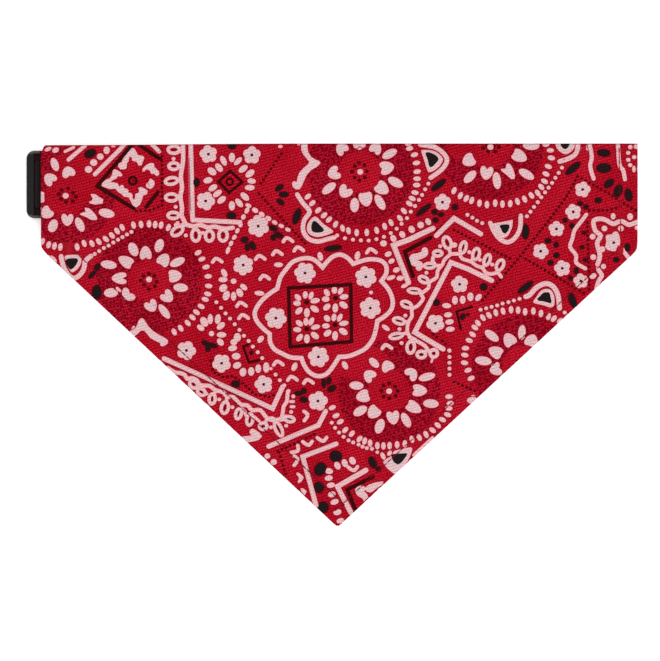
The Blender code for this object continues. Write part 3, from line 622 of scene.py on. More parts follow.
# White ovals: x, y, length, width, and tilt if any
WHITE_OVALS = (
    (-5.0, 33.5, 4.0, 2.4, -75), (10.8, 33.8, 4.0, 2.4, 75), (-22.8, 29.9, 4.0, 2.2),
    (-30.9, 17.8, 4.4, 2.2, -5), (-30.4, -1.8, 3.6, 2.4, 50), (-16.0, -13.5, 4.0, 2.4, 65),
    (5.5, -12.9, 4.0, 2.4, -60), (22.9, 3.1, 4.0, 2.0, -35), (59.8, -27.8, 5.0, 3.0),
    (52.0, 38.3, 2.8, 2.4), (-14.2, 80.9, 1.4, 1.0, -20), (-44.3, 36.1, 3.5, 1.8, 70),
    (-43.0, 39.0, 2.6, 1.8, 60), (-41.6, 41.6, 2.6, 1.8, 50), (-40.3, 44.4, 2.6, 1.8, 60),
    (-37.7, 50.3, 2.5, 2.0, 60), (-36.2, 53.0, 3.0, 1.9, 62), (-35.6, 55.1, 2.8, 1.8, -25),
    (-32.7, 53.1, 3.0, 2.1, -30), (-29.9, 51.4, 2.8, 2.1, -35), (-27.1, 49.7, 2.8, 2.1, -30),
    (-24.4, 48.0, 2.6, 1.8, -30), (-21.6, 46.5, 2.6, 1.8, -25), (-18.8, 44.9, 2.6, 1.8, -25),
    (-121.3, 79.0, 3.0, 2.0, 15), (-117.8, 78.6, 3.0, 2.5), (-95.8, 78.5, 3.4, 2.8, 90),
    (-98.5, 75.8, 3.0, 2.8), (-101.3, 73.3, 3.2, 3.0), (-103.5, 70.4, 3.3, 3.0), (-93.0, 80.3, 2.0, 1.0),
    (-22.0, 80.1, 2.0, 1.3), (-118.5, 32.3, 4.0, 2.0, -50), (-120.8, 33.4, 2.4, 1.6),
    (-45.9, 26.4, 4.0, 2.4, -60), (-46.4, 23.6, 4.0, 2.4), (-41.9, 22.9, 2.6, 2.4),
    (-46.3, 20.0, 3.8, 3.2, 40), (-45.0, 16.8, 4.4, 3.0, 70), (-41.9, 16.5, 4.0, 2.4, 90),
    (-39.3, 18.0, 4.0, 2.8, -60), (-37.6, 20.4, 3.6, 2.4, -40), (-54.4, 5.6, 4.6, 3.2, -60),
    (-51.8, 6.8, 4.4, 2.4, 90), (-55.9, 3.1, 3.6, 2.4, -35), (-48.6, 6.8, 4.4, 2.6, 80),
    (-47.3, 3.9, 4.2, 2.6, 40), (-51.3, 0.6, 2.4, 2.4), (-47.0, 0.1, 4.2, 2.5),
    (-47.5, -3.0, 3.6, 2.6, -50), (-40.3, -1.0, 3.8, 3.2, 90), (-41.8, -3.0, 3.0, 2.8),
    (-42.3, -5.6, 4.0, 2.6, 10), (-40.8, -9.0, 3.8, 3.0), (-40.4, -12.9, 3.8, 2.8, 20),
    (-37.9, -15.8, 3.8, 3.0, 80), (-34.4, -15.5, 3.8, 2.8, 90), (-31.4, -14.3, 3.8, 2.6, 90),
    (-28.0, -13.8, 4.6, 2.8, 90), (-26.0, -14.3, 1.6, 1.4), (40.9, 48.3, 3.2, 2.4, -60),
    (37.7, 46.9, 3.0, 3.0), (33.9, 45.0, 3.4, 2.8, -60), (29.9, 42.8, 3.2, 2.6, -60),
    (26.1, 41.1, 3.2, 2.6, -60), (21.9, 39.0, 3.0, 2.8), (23.9, 34.5, 3.2, 2.3, 20),
    (25.3, 31.5, 3.0, 2.2, 30), (27.4, 27.7, 3.2, 2.3, 20), (25.1, 24.4, 4.0, 2.0, 20),
    (29.0, 24.2, 3.2, 2.3, 5), (30.9, 21.0, 3.4, 1.8, 25), (48.8, 12.5, 4.0, 2.3, -5),
    (52.3, 14.8, 3.8, 2.6, 90), (55.6, 15.0, 3.6, 2.6, 90), (58.9, 16.3, 3.8, 2.8, 90),
    (62.3, 16.0, 3.6, 2.4, 50), (49.4, 8.6, 3.6, 2.3, 5), (50.0, 5.6, 3.8, 2.4, 8),
    (50.3, 2.5, 4.0, 2.3, 5), (119.6, 50.6, 2.8, 2.2, 90), (126.8, 50.4, 3.0, 2.6, 90),
    (115.9, 45.4, 2.6, 2.6), (122.9, 45.4, 2.6, 2.6), (110.9, 41.9, 2.6, 2.6), (115.0, 36.5, 2.6, 2.6),
    (111.2, 33.2, 2.6, 2.6), (111.1, 25.1, 3.2, 2.4, 30), (19.3, -49.9, 1.7, 1.6),
    (21.7, -51.5, 3.4, 2.0, -65), (24.5, -50.3, 2.6, 1.9, 50), (115.5, 29.2, 2.3, 2.4),
    (129.7, 45.7, 2.0, 2.0), (126.9, 79.8, 2.0, 1.8), (129.3, 80.0, 2.0, 1.8), (126.0, 77.4, 2.0, 1.8),
    (128.5, 75.6, 2.0, 1.8), (126.0, 74.5, 2.0, 1.8), (126.8, 72.3, 2.0, 1.8), (128.4, 70.6, 3.0, 1.6, 90),
    (2.3, -55.6, 3.6, 2.6, -60), (5.4, -54.5, 3.6, 2.6, -70), (8.7, -53.5, 3.6, 2.8, -60),
    (-1.3, -57.9, 3.6, 2.6, -10), (-1.4, -60.9, 3.6, 2.4, 10), (-0.5, -63.9, 3.6, 2.4, 10),
    (-0.1, -67.8, 3.4, 2.6, 15), (1.1, -71.0, 3.8, 2.4, 20), (2.3, -75.4, 3.6, 2.6, 15),
    (3.5, -79.0, 3.4, 2.2, 20), (-27.5, -51.5, 2.6, 2.4), (-24.8, -54.0, 2.8, 2.6),
)

# Teardrops: white outer shape, black heart; each is drawn as a smooth closed line
TEARDROPS = (
    (
        ((-113.6, 33.8), (-113.3, 31.5), (-112.5, 29.2), (-110.7, 26.7), (-108.3, 28.1), (-106.8, 30.4),
         (-106.6, 32.7), (-107.4, 34.0), (-110.2, 34.3)),
        ((-113.2, 31.3), (-112.4, 32.3), (-108.6, 32.5), (-108.5, 31.1), (-109.6, 29.4), (-111.2, 28.1),
         (-112.3, 29.5)),
    ),
    (
        ((-7.2, 50.6), (-3.6, 47.4), (0.6, 44.2), (-2.6, 42.4), (-6.8, 41.7), (-10.3, 43.6), (-10.4, 47.4)),
        ((-7.3, 48.4), (-5.4, 46.8), (-3.6, 44.6), (-5.6, 43.8), (-8.1, 44.2), (-8.6, 45.8), (-8.2, 47.8)),
    ),
    (
        ((38.3, 78.7), (42.4, 78.5), (45.1, 77.3), (47.0, 75.3), (47.1, 74.1), (45.9, 72.0), (43.8, 70.2),
         (41.3, 69.2), (40.3, 70.7), (39.3, 73.9), (38.1, 77.5)),
        ((40.1, 77.3), (41.2, 77.4), (43.3, 76.6), (45.0, 75.2), (44.7, 74.1), (43.6, 72.8), (42.2, 71.6),
         (41.4, 72.2), (41.0, 74.3), (40.2, 76.4)),
    ),
    (
        ((95.2, 83.6), (95.6, 79.4), (99.4, 76.7), (103.0, 79.4), (103.2, 83.6), (99.2, 85.4)),
        ((97.2, 82.6), (97.4, 80.4), (99.2, 78.9), (101.0, 80.6), (101.0, 82.8), (99.2, 83.6)),
    ),
    (
        ((68.1, 47.3), (69.6, 47.8), (71.7, 48.1), (74.2, 48.6), (76.7, 49.1), (76.9, 48.5), (76.7, 46.2),
         (75.9, 44.1), (74.9, 42.3), (73.1, 41.2), (71.3, 41.8), (69.6, 43.7), (68.5, 45.8)),
        ((71.5, 46.5), (73.1, 46.9), (75.2, 46.8), (75.0, 45.1), (73.7, 43.4), (72.6, 44.2), (72.2, 45.3)),
    ),
    (
        ((85.6, 14.3), (86.9, 16.2), (88.6, 18.6), (90.6, 19.6), (92.8, 19.4), (94.2, 17.6), (94.7, 15.4),
         (94.5, 12.6), (92.9, 11.7), (90.4, 12.5), (86.5, 13.4)),
        ((90.0, 17.8), (92.2, 17.9), (92.7, 16.4), (93.2, 14.1), (92.6, 13.8), (90.4, 14.5), (88.3, 14.7),
         (87.6, 15.4), (89.0, 16.7)),
    ),
    (
        ((34.2, -48.1), (30.4, -48.3), (28.6, -48.7), (26.3, -49.4), (25.7, -50.8), (24.7, -51.8),
         (23.1, -52.7), (21.8, -53.9), (22.0, -54.6), (23.3, -56.5), (25.4, -58.3), (27.5, -58.9),
         (32.0, -54.0)),
        ((25.5, -51.6), (26.1, -50.9), (31.2, -50.5), (31.7, -50.8), (30.8, -52.3), (29.4, -54.0),
         (27.8, -54.8), (26.2, -53.5)),
    ),
)

# White pieces with a brushed, uneven edge, each an outline in its own right
BRUSHED = (
    ((-102.5, 60.0), (-100.5, 59.9), (-99.3, 58.9), (-97.2, 57.7), (-97.5, 55.9), (-100.7, 55.4),
     (-103.0, 56.0), (-103.4, 56.6), (-102.1, 57.2), (-101.7, 58.2), (-102.4, 59.1)),
    ((-105.1, 54.2), (-103.2, 53.9), (-101.8, 52.7), (-100.4, 51.1), (-99.7, 49.7), (-100.2, 48.9),
     (-102.5, 49.0), (-104.6, 50.2), (-106.9, 51.1), (-107.2, 51.6), (-106.0, 52.2), (-104.7, 52.4),
     (-105.0, 53.2)),
    ((74.8, 73.2), (76.0, 72.5), (77.1, 70.6), (77.9, 67.8), (77.6, 66.4), (76.2, 66.3), (74.1, 68.2),
     (72.0, 69.8), (71.9, 70.7), (73.8, 70.8), (74.1, 72.5)),
    ((-15.0, -58.4), (-14.1, -58.6), (-12.4, -59.9), (-12.0, -60.8), (-13.1, -62.5), (-14.3, -63.1),
     (-14.7, -62.5), (-14.1, -61.1), (-14.3, -60.4), (-15.2, -59.3)),
    ((-13.4, -65.2), (-12.3, -65.2), (-10.7, -66.4), (-11.6, -68.2), (-13.2, -66.4)),
    ((-20.0, -33.9), (-18.9, -34.4), (-20.4, -36.6), (-22.3, -37.0), (-22.2, -35.5)),
    ((120.7, 44.2), (119.8, 43.9), (119.1, 42.9), (117.0, 42.7), (116.4, 41.9), (116.7, 39.6),
     (116.1, 37.4), (117.2, 36.2), (119.2, 35.7), (120.9, 35.7), (121.2, 37.6), (121.4, 38.4),
     (122.4, 37.8), (122.7, 40.0), (122.3, 42.4), (121.6, 43.9)),
    ((-91.0, 71.7), (-90.0, 70.4), (-88.0, 70.4), (-87.3, 71.0), (-87.1, 73.1), (-86.4, 73.8),
     (-86.2, 75.6), (-85.2, 75.6), (-85.0, 74.2), (-83.0, 73.5), (-82.3, 72.0), (-81.0, 72.1),
     (-80.3, 73.8), (-79.7, 75.4), (-80.5, 76.2), (-82.5, 76.5), (-83.0, 77.6), (-83.9, 79.2),
     (-85.0, 79.5), (-86.2, 79.1), (-87.8, 77.6), (-88.5, 75.8), (-89.4, 73.5), (-90.7, 72.9)),
    ((-92.8, 70.6), (-93.2, 69.9), (-93.5, 68.1), (-94.4, 66.7), (-96.2, 66.0), (-97.9, 64.5),
     (-97.8, 63.3), (-96.2, 62.6), (-94.4, 62.0), (-92.1, 62.2), (-91.0, 60.8), (-89.5, 59.9),
     (-88.5, 58.8), (-86.4, 58.5), (-85.5, 56.7), (-84.6, 54.9), (-83.2, 54.2), (-81.6, 55.4),
     (-80.8, 57.2), (-80.3, 59.2), (-78.6, 59.9), (-78.3, 61.3), (-79.4, 62.2), (-81.2, 63.0),
     (-82.4, 62.5), (-82.0, 61.4), (-82.3, 60.5), (-83.7, 59.9), (-83.7, 58.5), (-84.1, 57.6),
     (-84.7, 57.9), (-84.8, 59.7), (-85.3, 60.4), (-86.7, 60.6), (-86.4, 61.5), (-87.1, 62.2),
     (-88.2, 62.4), (-88.8, 63.8), (-89.8, 63.8), (-90.2, 62.9), (-91.1, 64.5), (-92.5, 64.9),
     (-94.2, 65.0), (-93.2, 65.8), (-91.6, 66.5), (-91.0, 67.5), (-89.8, 67.3), (-89.0, 67.9),
     (-89.8, 69.2), (-91.2, 70.1)),
    ((-80.7, 69.5), (-80.5, 70.8), (-78.9, 72.4), (-77.1, 73.2), (-75.7, 73.0), (-75.5, 71.5),
     (-73.5, 69.5), (-73.5, 68.1), (-74.6, 67.5), (-75.7, 68.5), (-76.9, 68.5), (-77.5, 69.9),
     (-78.9, 70.4), (-79.8, 69.5)),
    ((-76.9, 66.5), (-75.5, 65.4), (-75.4, 64.0), (-76.2, 62.6), (-77.3, 62.0), (-79.1, 62.9),
     (-79.1, 64.2), (-78.0, 65.1), (-77.5, 66.3)),
    ((-13.3, 84.0), (-13.1, 78.6), (-12.3, 76.7), (-10.8, 75.0), (-9.7, 73.6), (-10.4, 72.5), (-12.3, 70.9),
     (-14.0, 69.0), (-14.8, 66.7), (-15.0, 65.2), (-16.3, 65.5), (-17.1, 64.6), (-16.7, 63.0),
     (-15.4, 61.9), (-13.8, 62.0), (-12.9, 63.2), (-11.9, 65.5), (-10.8, 68.0), (-8.8, 70.2), (-6.5, 71.5),
     (-4.9, 73.0), (-5.2, 73.9), (-6.9, 74.6), (-8.8, 75.7), (-10.1, 77.7), (-10.4, 79.8), (-10.4, 84.0)),
    ((-88.0, 0.4), (-86.0, 1.7), (-84.2, 2.6), (-83.1, 3.9), (-82.3, 6.2), (-81.3, 7.2), (-80.2, 7.0),
     (-79.2, 5.5), (-78.1, 3.7), (-76.2, 1.8), (-73.5, 0.1), (-70.8, -1.3), (-69.8, -2.2), (-69.8, -3.4),
     (-70.8, -4.3), (-72.1, -4.9), (-73.1, -4.5), (-73.2, -3.4), (-75.4, -2.4), (-77.3, -1.3), (-78.8, 0.5),
     (-80.0, 1.9), (-81.3, 1.9), (-82.7, 0.5), (-83.7, -0.3), (-86.0, -2.0)),
    ((9.8, -65.7), (10.9, -64.1), (13.2, -63.9), (14.0, -64.9), (15.8, -63.6), (18.5, -62.7), (21.8, -62.2),
     (21.5, -63.6), (18.8, -65.4), (17.6, -66.4), (16.5, -67.1), (14.8, -66.7), (14.0, -65.9),
     (13.7, -66.5), (15.0, -67.7), (15.4, -68.9), (13.6, -70.8), (12.9, -69.6), (10.9, -68.4), (9.9, -67.0)),
)

# Black leaves: x, y, length, width, and tilt if any
BLACK_OVALS = (
    (120.9, 32.1, 2.6, 2.2), (-102.8, 77.1, 5.2, 3.4, 25), (-42.6, 80.3, 3.4, 2.6),
    (-57.7, 64.9, 3.8, 2.8, 90), (-42.8, 50.8, 4.2, 3.0), (-37.2, 40.5, 3.2, 2.6),
    (-36.0, 37.5, 3.2, 2.2, 90), (-33.8, 38.0, 3.8, 2.4, -65), (-102.0, 25.8, 4.5, 1.8, 45),
    (-99.9, 28.9, 3.5, 2.3, 60), (-100.1, 18.2, 6.2, 4.1, 90), (-22.4, 62.6, 4.2, 2.2, 35),
    (-20.5, 59.8, 4.2, 2.4), (-21.9, 56.6, 3.6, 2.2, -35), (-15.0, 50.5, 7.0, 3.0, 70),
    (-25.1, 45.5, 4.0, 2.2, -20), (-22.8, 42.5, 4.0, 2.4, -20), (-25.0, 41.5, 2.4, 2.4),
    (0.5, 37.0, 7.8, 2.4, 8), (45.3, 63.8, 7.6, 2.6, 38), (39.0, 53.3, 8.0, 2.2, 38),
    (52.3, 54.4, 2.6, 2.6), (43.6, 52.4, 2.6, 2.2), (46.3, 51.3, 2.6, 1.8), (44.0, 49.0, 2.4, 2.2),
    (102.5, 70.9, 8.0, 2.8, 40), (82.3, 44.0, 6.6, 3.0, 90), (44.4, 13.8, 3.0, 2.8), (64.5, 20.5, 3.2, 3.0),
    (82.3, 20.3, 8.0, 2.6, 38), (102.3, 14.8, 6.8, 3.0, -70), (115.6, 77.4, 5.6, 3.2, -5),
    (115.6, 71.0, 6.4, 4.0), (117.8, 64.5, 5.0, 3.0, 40), (121.7, 61.3, 5.6, 3.4, 70),
    (126.1, 59.5, 5.4, 3.2, -80), (113.2, 57.3, 3.0, 2.4), (105.5, 56.0, 2.4, 1.8), (108.0, 54.5, 2.2, 2.0),
    (99.1, 48.9, 2.0, 2.0), (102.1, 46.5, 2.2, 2.2), (107.2, 43.5, 2.0, 1.4), (106.4, 37.4, 2.0, 1.6),
    (91.9, 40.1, 2.8, 2.2), (95.4, 38.4, 2.4, 2.0, 90), (95.5, 34.0, 2.6, 2.2), (93.0, 30.8, 2.6, 2.2),
    (104.0, 27.4, 2.8, 2.0, 90), (101.5, 24.2, 2.0, 1.8), (107.8, 32.0, 2.0, 1.6),
    (125.6, 37.2, 3.6, 2.4, 90), (-41.1, -20.9, 3.8, 3.0), (-3.5, -20.5, 4.0, 2.0, 90),
    (-1.3, -19.5, 3.2, 2.0, 75), (-0.1, -22.8, 4.0, 2.6, 30), (-12.0, -23.8, 2.4, 2.4),
    (-14.3, -24.8, 3.6, 2.0), (-12.0, -27.5, 3.6, 2.4, -10), (17.3, -54.3, 5.4, 3.0, -65),
    (19.8, -57.0, 2.4, 2.0), (1.6, -51.6, 5.2, 4.8), (-5.0, -57.1, 6.0, 5.0, 55),
    (-5.6, -64.8, 4.8, 4.4, 90), (-3.7, -73.3, 5.0, 4.6, 90), (-53.8, -3.6, 3.8, 2.0, -35),
    (-50.8, -4.4, 4.4, 1.9, -20), (-52.7, -5.6, 3.0, 2.3, 70), (-34.3, -7.5, 1.8, 1.4, 60),
    (55.6, 7.8, 2.8, 2.1, 60), (57.8, 8.7, 1.4, 1.1),
)

# Black lines: width, points
BLACK_LINES = (
    (1.7, (-84.5, 81.5), (-99.8, 63.3), (-84.2, 53.8)),
    (1.7, (-82.0, 80.8), (-73.0, 74.8)),
    (1.7, (-79.0, 54.4), (-74.0, 60.8)),
    (1.8, (42.0, 41.5), (31.0, 35.5), (34.5, 25.0)),
    (1.7, (17.5, -60.3), (6.5, -65.8), (10.0, -74.5)),
    (1.1, (59.5, 12.0), (53.0, 10.0), (54.8, 2.5)),
    (1.1, (-35.5, -4.0), (-37.8, -5.0), (-35.4, -11.6), (-31.0, -10.7)),
)

# Lines of small dark-red dots: points
DOTTED_LINES = (
    ((104.5, 67.5), (116.5, 60.9), (129.5, 52.6)),
    ((-72.3, 76.0), (-72.3, 55.0), (-77.5, 53.0), (-84.0, 52.7)),
    ((-21.6, 77.0), (-30.3, 64.5)),
    ((-31.0, 60.0), (-11.0, 38.5)),
    ((104.4, 67.5), (99.4, 58.3), (92.6, 49.3), (78.7, 31.9), (63.0, 13.6)),
    ((51.9, 44.7), (76.2, 32.4)),
    ((82.5, 32.4), (108.5, 17.0)),
    ((109.5, 53.0), (117.6, 53.1), (122.6, 54.6)),
    ((108.6, 48.0), (109.0, 35.0), (109.4, 27.0), (109.5, 18.0)),
    ((-51.6, -11.0), (-50.8, -15.5), (-46.8, -17.9), (-42.0, -17.5), (-38.0, -20.5), (-32.8, -25.3),
     (-26.5, -26.3), (-24.5, -25.3)),
    ((-23.0, -49.5), (-6.0, -41.5)),
    ((-22.5, -50.0), (-19.5, -60.0)),
    ((52.0, -20.0), (61.5, -24.0)),
    ((43.0, 0.3), (45.5, -1.5)),
    ((47.0, -2.5), (49.0, -4.3)),
)

# The eye of each wheel, and the eight dark dots round it
EYES = (
    ((-113.2, 59.2), (-112.2, 62.4), (-114.9, 61.7), (-110.1, 60.5), (-108.9, 58.8), (-110.2, 56.9),
     (-113.0, 56.6), (-115.1, 57.9), (-116.1, 60.0)),
    ((-77.9, 23.7), (-80.3, 25.2), (-77.9, 26.1), (-75.6, 25.2), (-81.4, 23.3), (-74.6, 22.8),
     (-80.0, 21.5), (-75.4, 20.8), (-78.0, 19.6)),
    ((12.0, 69.4), (9.7, 71.8), (11.5, 73.3), (13.8, 72.3), (8.5, 69.5), (14.8, 69.6), (9.6, 66.9),
     (14.0, 67.0), (11.6, 65.8)),
    ((67.4, 79.9), (64.3, 79.4), (71.0, 79.8), (66.4, 78.0), (69.4, 77.9), (64.1, 81.6), (70.0, 81.6),
     (66.0, 83.0), (68.8, 83.2)),
    ((24.3, -23.9), (24.3, -20.5), (21.9, -21.6), (26.8, -21.9), (20.9, -23.7), (28.0, -23.8),
     (21.9, -26.2), (27.1, -25.8), (24.4, -26.9)),
    ((81.5, -13.5), (84.9, -13.5), (83.9, -11.1), (81.5, -10.1), (79.1, -11.1), (78.1, -13.5),
     (79.1, -15.9), (81.5, -16.9), (83.9, -15.9)),
)

# The black diamond's corners, and the ring in its middle: x, y, half length, half width, tilt
DIAMOND = ((-48.3, 65.2), (-43.3, 69.8), (-38.2, 65.1), (-43.8, 60.6))
DIAMOND_RING = (-43.5, 65.2, 1.9, 1.9, 0)

# The ring among the brushed pieces at the left: x, y, half length, half width, tilt
BRUSHED_RING = (-84.7, 65.6, 2.2, 2.2, 0)

# The petals round the diamond: x, y, length, width, tilt
DIAMOND_PETALS = (
    (-42.6, 75.5, 4.1, 2.8, 90), (-46.2, 74.1, 4.6, 2.5, -64), (-40.0, 73.9, 4.4, 2.2, 43),
    (-37.8, 70.7, 4.6, 2.6, 36), (-34.9, 68.7, 4.6, 2.8, 39), (-34.2, 65.5, 3.8, 2.4, -8),
    (-35.0, 62.7, 4.4, 2.5, 0), (-37.1, 58.9, 4.6, 2.7, -43), (-39.5, 56.2, 4.5, 2.5, -51),
    (-42.6, 55.0, 4.1, 2.8, 90), (-47.0, 57.5, 4.4, 2.7, 39), (-48.8, 60.2, 4.5, 2.5, 36),
    (-50.7, 62.6, 4.3, 2.6, 33), (-52.8, 65.8, 4.1, 2.7, 14), (-51.1, 69.6, 4.3, 3.0, -38),
    (-48.1, 71.2, 4.3, 2.7, -50),
)

# Where the ground is left plain between the stippled parts: x, y, length, width, tilt
PLAIN_GROUNDS = (
    (-106.5, 68.5, 24.0, 25.0, 0), (12.5, -12.0, 25.0, 15.0, 0), (56.5, 79.0, 15.0, 9.0, 0),
)


# ---------------------------------------------------------------- drawing the print's shapes

WHITE = (1.0, 0.0, 0.0, 0.0, 0.0, 0.0)
BLACK = (0.0, 1.0, 0.0, 0.0, 0.0, 0.0)
DOTS = (0.0, 0.0, 1.0, 0.0, 0.0, 0.0)
RIM = (0.0, 0.0, 0.0, 1.0, 0.0, 0.0)      # the white ink's thin edge, where the red shows through it
LINE = (0.0, 0.0, 0.0, 0.0, 1.0, 0.0)     # the black ink in thin lines, where it soaks in and browns
BLEED = (0.0, 0.0, 0.0, 0.0, 0.0, 1.0)    # the deeper red that the dye leaves round a white piece
BARE = (0.0, 0.0, 0.0, 0.0, 0.0, 0.0)
RIM_W = 0.42
BLEED_W = 0.34
SCALLOP_W = 1.95         # the medallion's line; the braids' lines, which carry the loops, are thinner


def turned(points, x, y, degrees):
    """Turn points about the origin, then move them to x, y."""
    a = math.radians(degrees)
    c = math.cos(a)
    s = math.sin(a)
    return [(x + px * c - py * s, y + px * s + py * c) for px, py in points]


def oval(x, y, length, width, tilt=0.0, sides=0):
    """A many-sided oval; its number of sides follows from its length if none is given."""
    sides = sides or (8 if length < 2.0 else 14 if length > 5.0 else 12)
    ring = [
        (length / 2 * math.cos(math.tau * i / sides), width / 2 * math.sin(math.tau * i / sides))
        for i in range(sides)
    ]
    return turned(ring, x, y, tilt)


def signed_area(outline):
    """Above 0 where the outline runs anticlockwise."""
    return sum((a[0] * b[1] - b[0] * a[1]) / 2 for a, b in zip(outline, outline[1:] + outline[:1]))


def toward(x, y, centre):
    """The bearing of centre from x, y, in degrees."""
    return math.degrees(math.atan2(centre[1] - y, centre[0] - x))


# Half a heart of the wheels, 1 long and 1 across, from its first lobe to its far end: outward, across
HEART_HALF = ((-0.46, 0.15), (-0.50, 0.30), (-0.42, 0.44), (-0.22, 0.50), (0.03, 0.46),
              (0.26, 0.34), (0.43, 0.18), (0.50, 0.0))


def heart(x, y, outward, length, width, notch):
    """Two lobes and a notch towards the wheel's middle, a round end outwards."""
    half = [(px * length, py * width) for px, py in HEART_HALF]
    other = [(px, -py) for px, py in half[:-1]][::-1]
    return turned([(notch - length / 2, 0.0)] + half + other, x, y, outward)


def inset(outline, depth):
    """The outline moved in by depth."""
    moved = []
    count = len(outline)
    for i, (x, y) in enumerate(outline):
        before = Vector(outline[i - 1])
        after = Vector(outline[(i + 1) % count])
        along = (after - before).normalized()
        moved.append((x - along.y * depth, y + along.x * depth))
    return moved


def flower(x, y, radius, petals):
    """A flower's outline; each one is turned a little differently."""
    sides = petals * 6
    start = (x * 7.3 + y * 3.1) % 1.0 * math.tau / petals
    ring = []
    for i in range(sides):
        a = math.tau * i / sides
        reach = radius * (0.80 + 0.22 * abs(math.cos(petals * a / 2.0)) ** 0.7)
        ring.append((x + reach * math.cos(a + start), y + reach * math.sin(a + start)))
    return ring


def smooth_line(points, closed=False, steps=3):
    """A rounded line through the points."""
    count = len(points)
    line = []
    spans = count if closed else count - 1
    for i in range(spans):
        if closed:
            a, b, c, d = (Vector(points[(i + k) % count]) for k in (-1, 0, 1, 2))
        else:
            b = Vector(points[i])
            c = Vector(points[i + 1])
            a = Vector(points[i - 1]) if i else b * 2 - c
            d = Vector(points[i + 2]) if i + 2 < count else c * 2 - b
        for step in range(steps):
            t = step / steps
            bend = (a * 2 - b * 5 + c * 4 - d) * t * t
            p = b * 2 + (c - a) * t + bend + (b * 3 - a - c * 3 + d) * t ** 3
            line.append(tuple(p / 2))
    if not closed:
        line.append(tuple(points[-1]))
    return line


def stroke(points, width, closed=False):
    """A line as one brush would leave it: bars that are mitred where they meet, and round ends."""
    half = width / 2
    line = [Vector(p) for p in points]
    if closed:
        line.append(line[0])
    left = []
    right = []
    for i, here in enumerate(line):
        before = line[i - 1] if i else (line[-2] if closed else here)
        after = line[i + 1] if i + 1 < len(line) else (line[1] if closed else here)
        one = (here - before).normalized()
        two = (after - here).normalized()
        way = (one + two).normalized()
        steady = one if one.length else two
        side = Vector((-way.y, way.x)) * half / max(way.dot(steady), 0.55)
        left.append(here + side)
        right.append(here - side)
    shapes = [
        [tuple(left[i]), tuple(right[i]), tuple(right[i + 1]), tuple(left[i + 1])]
        for i in range(len(line) - 1)
    ]
    if not closed:
        shapes += [oval(tip.x, tip.y, width, width * 0.999, sides=8) for tip in (line[0], line[-1])]
    return shapes


def dots_along(points, pitch, size):
    """Small round dots along a line, evenly spaced."""
    shapes = []
    left_over = 0.0
    for start, end in zip(points, points[1:]):
        a = Vector(start)
        b = Vector(end)
        length = (b - a).length
        at = left_over
        while at < length:
            p = a.lerp(b, at / length)
            shapes.append(oval(p.x, p.y, size, size * 0.98, 22.5))
            at += pitch
        left_over = at - length
    return shapes


def ring_line(x, y, half_length, half_width, tilt, width):
    """A closed loop: its outer shape and its bare middle."""
    outer = oval(x, y, half_length * 2, half_width * 2, tilt)
    inner = oval(x, y, max(half_length * 2 - width * 2, 1.0), max(half_width * 2 - width * 2, 0.7), tilt)
    return outer, inner


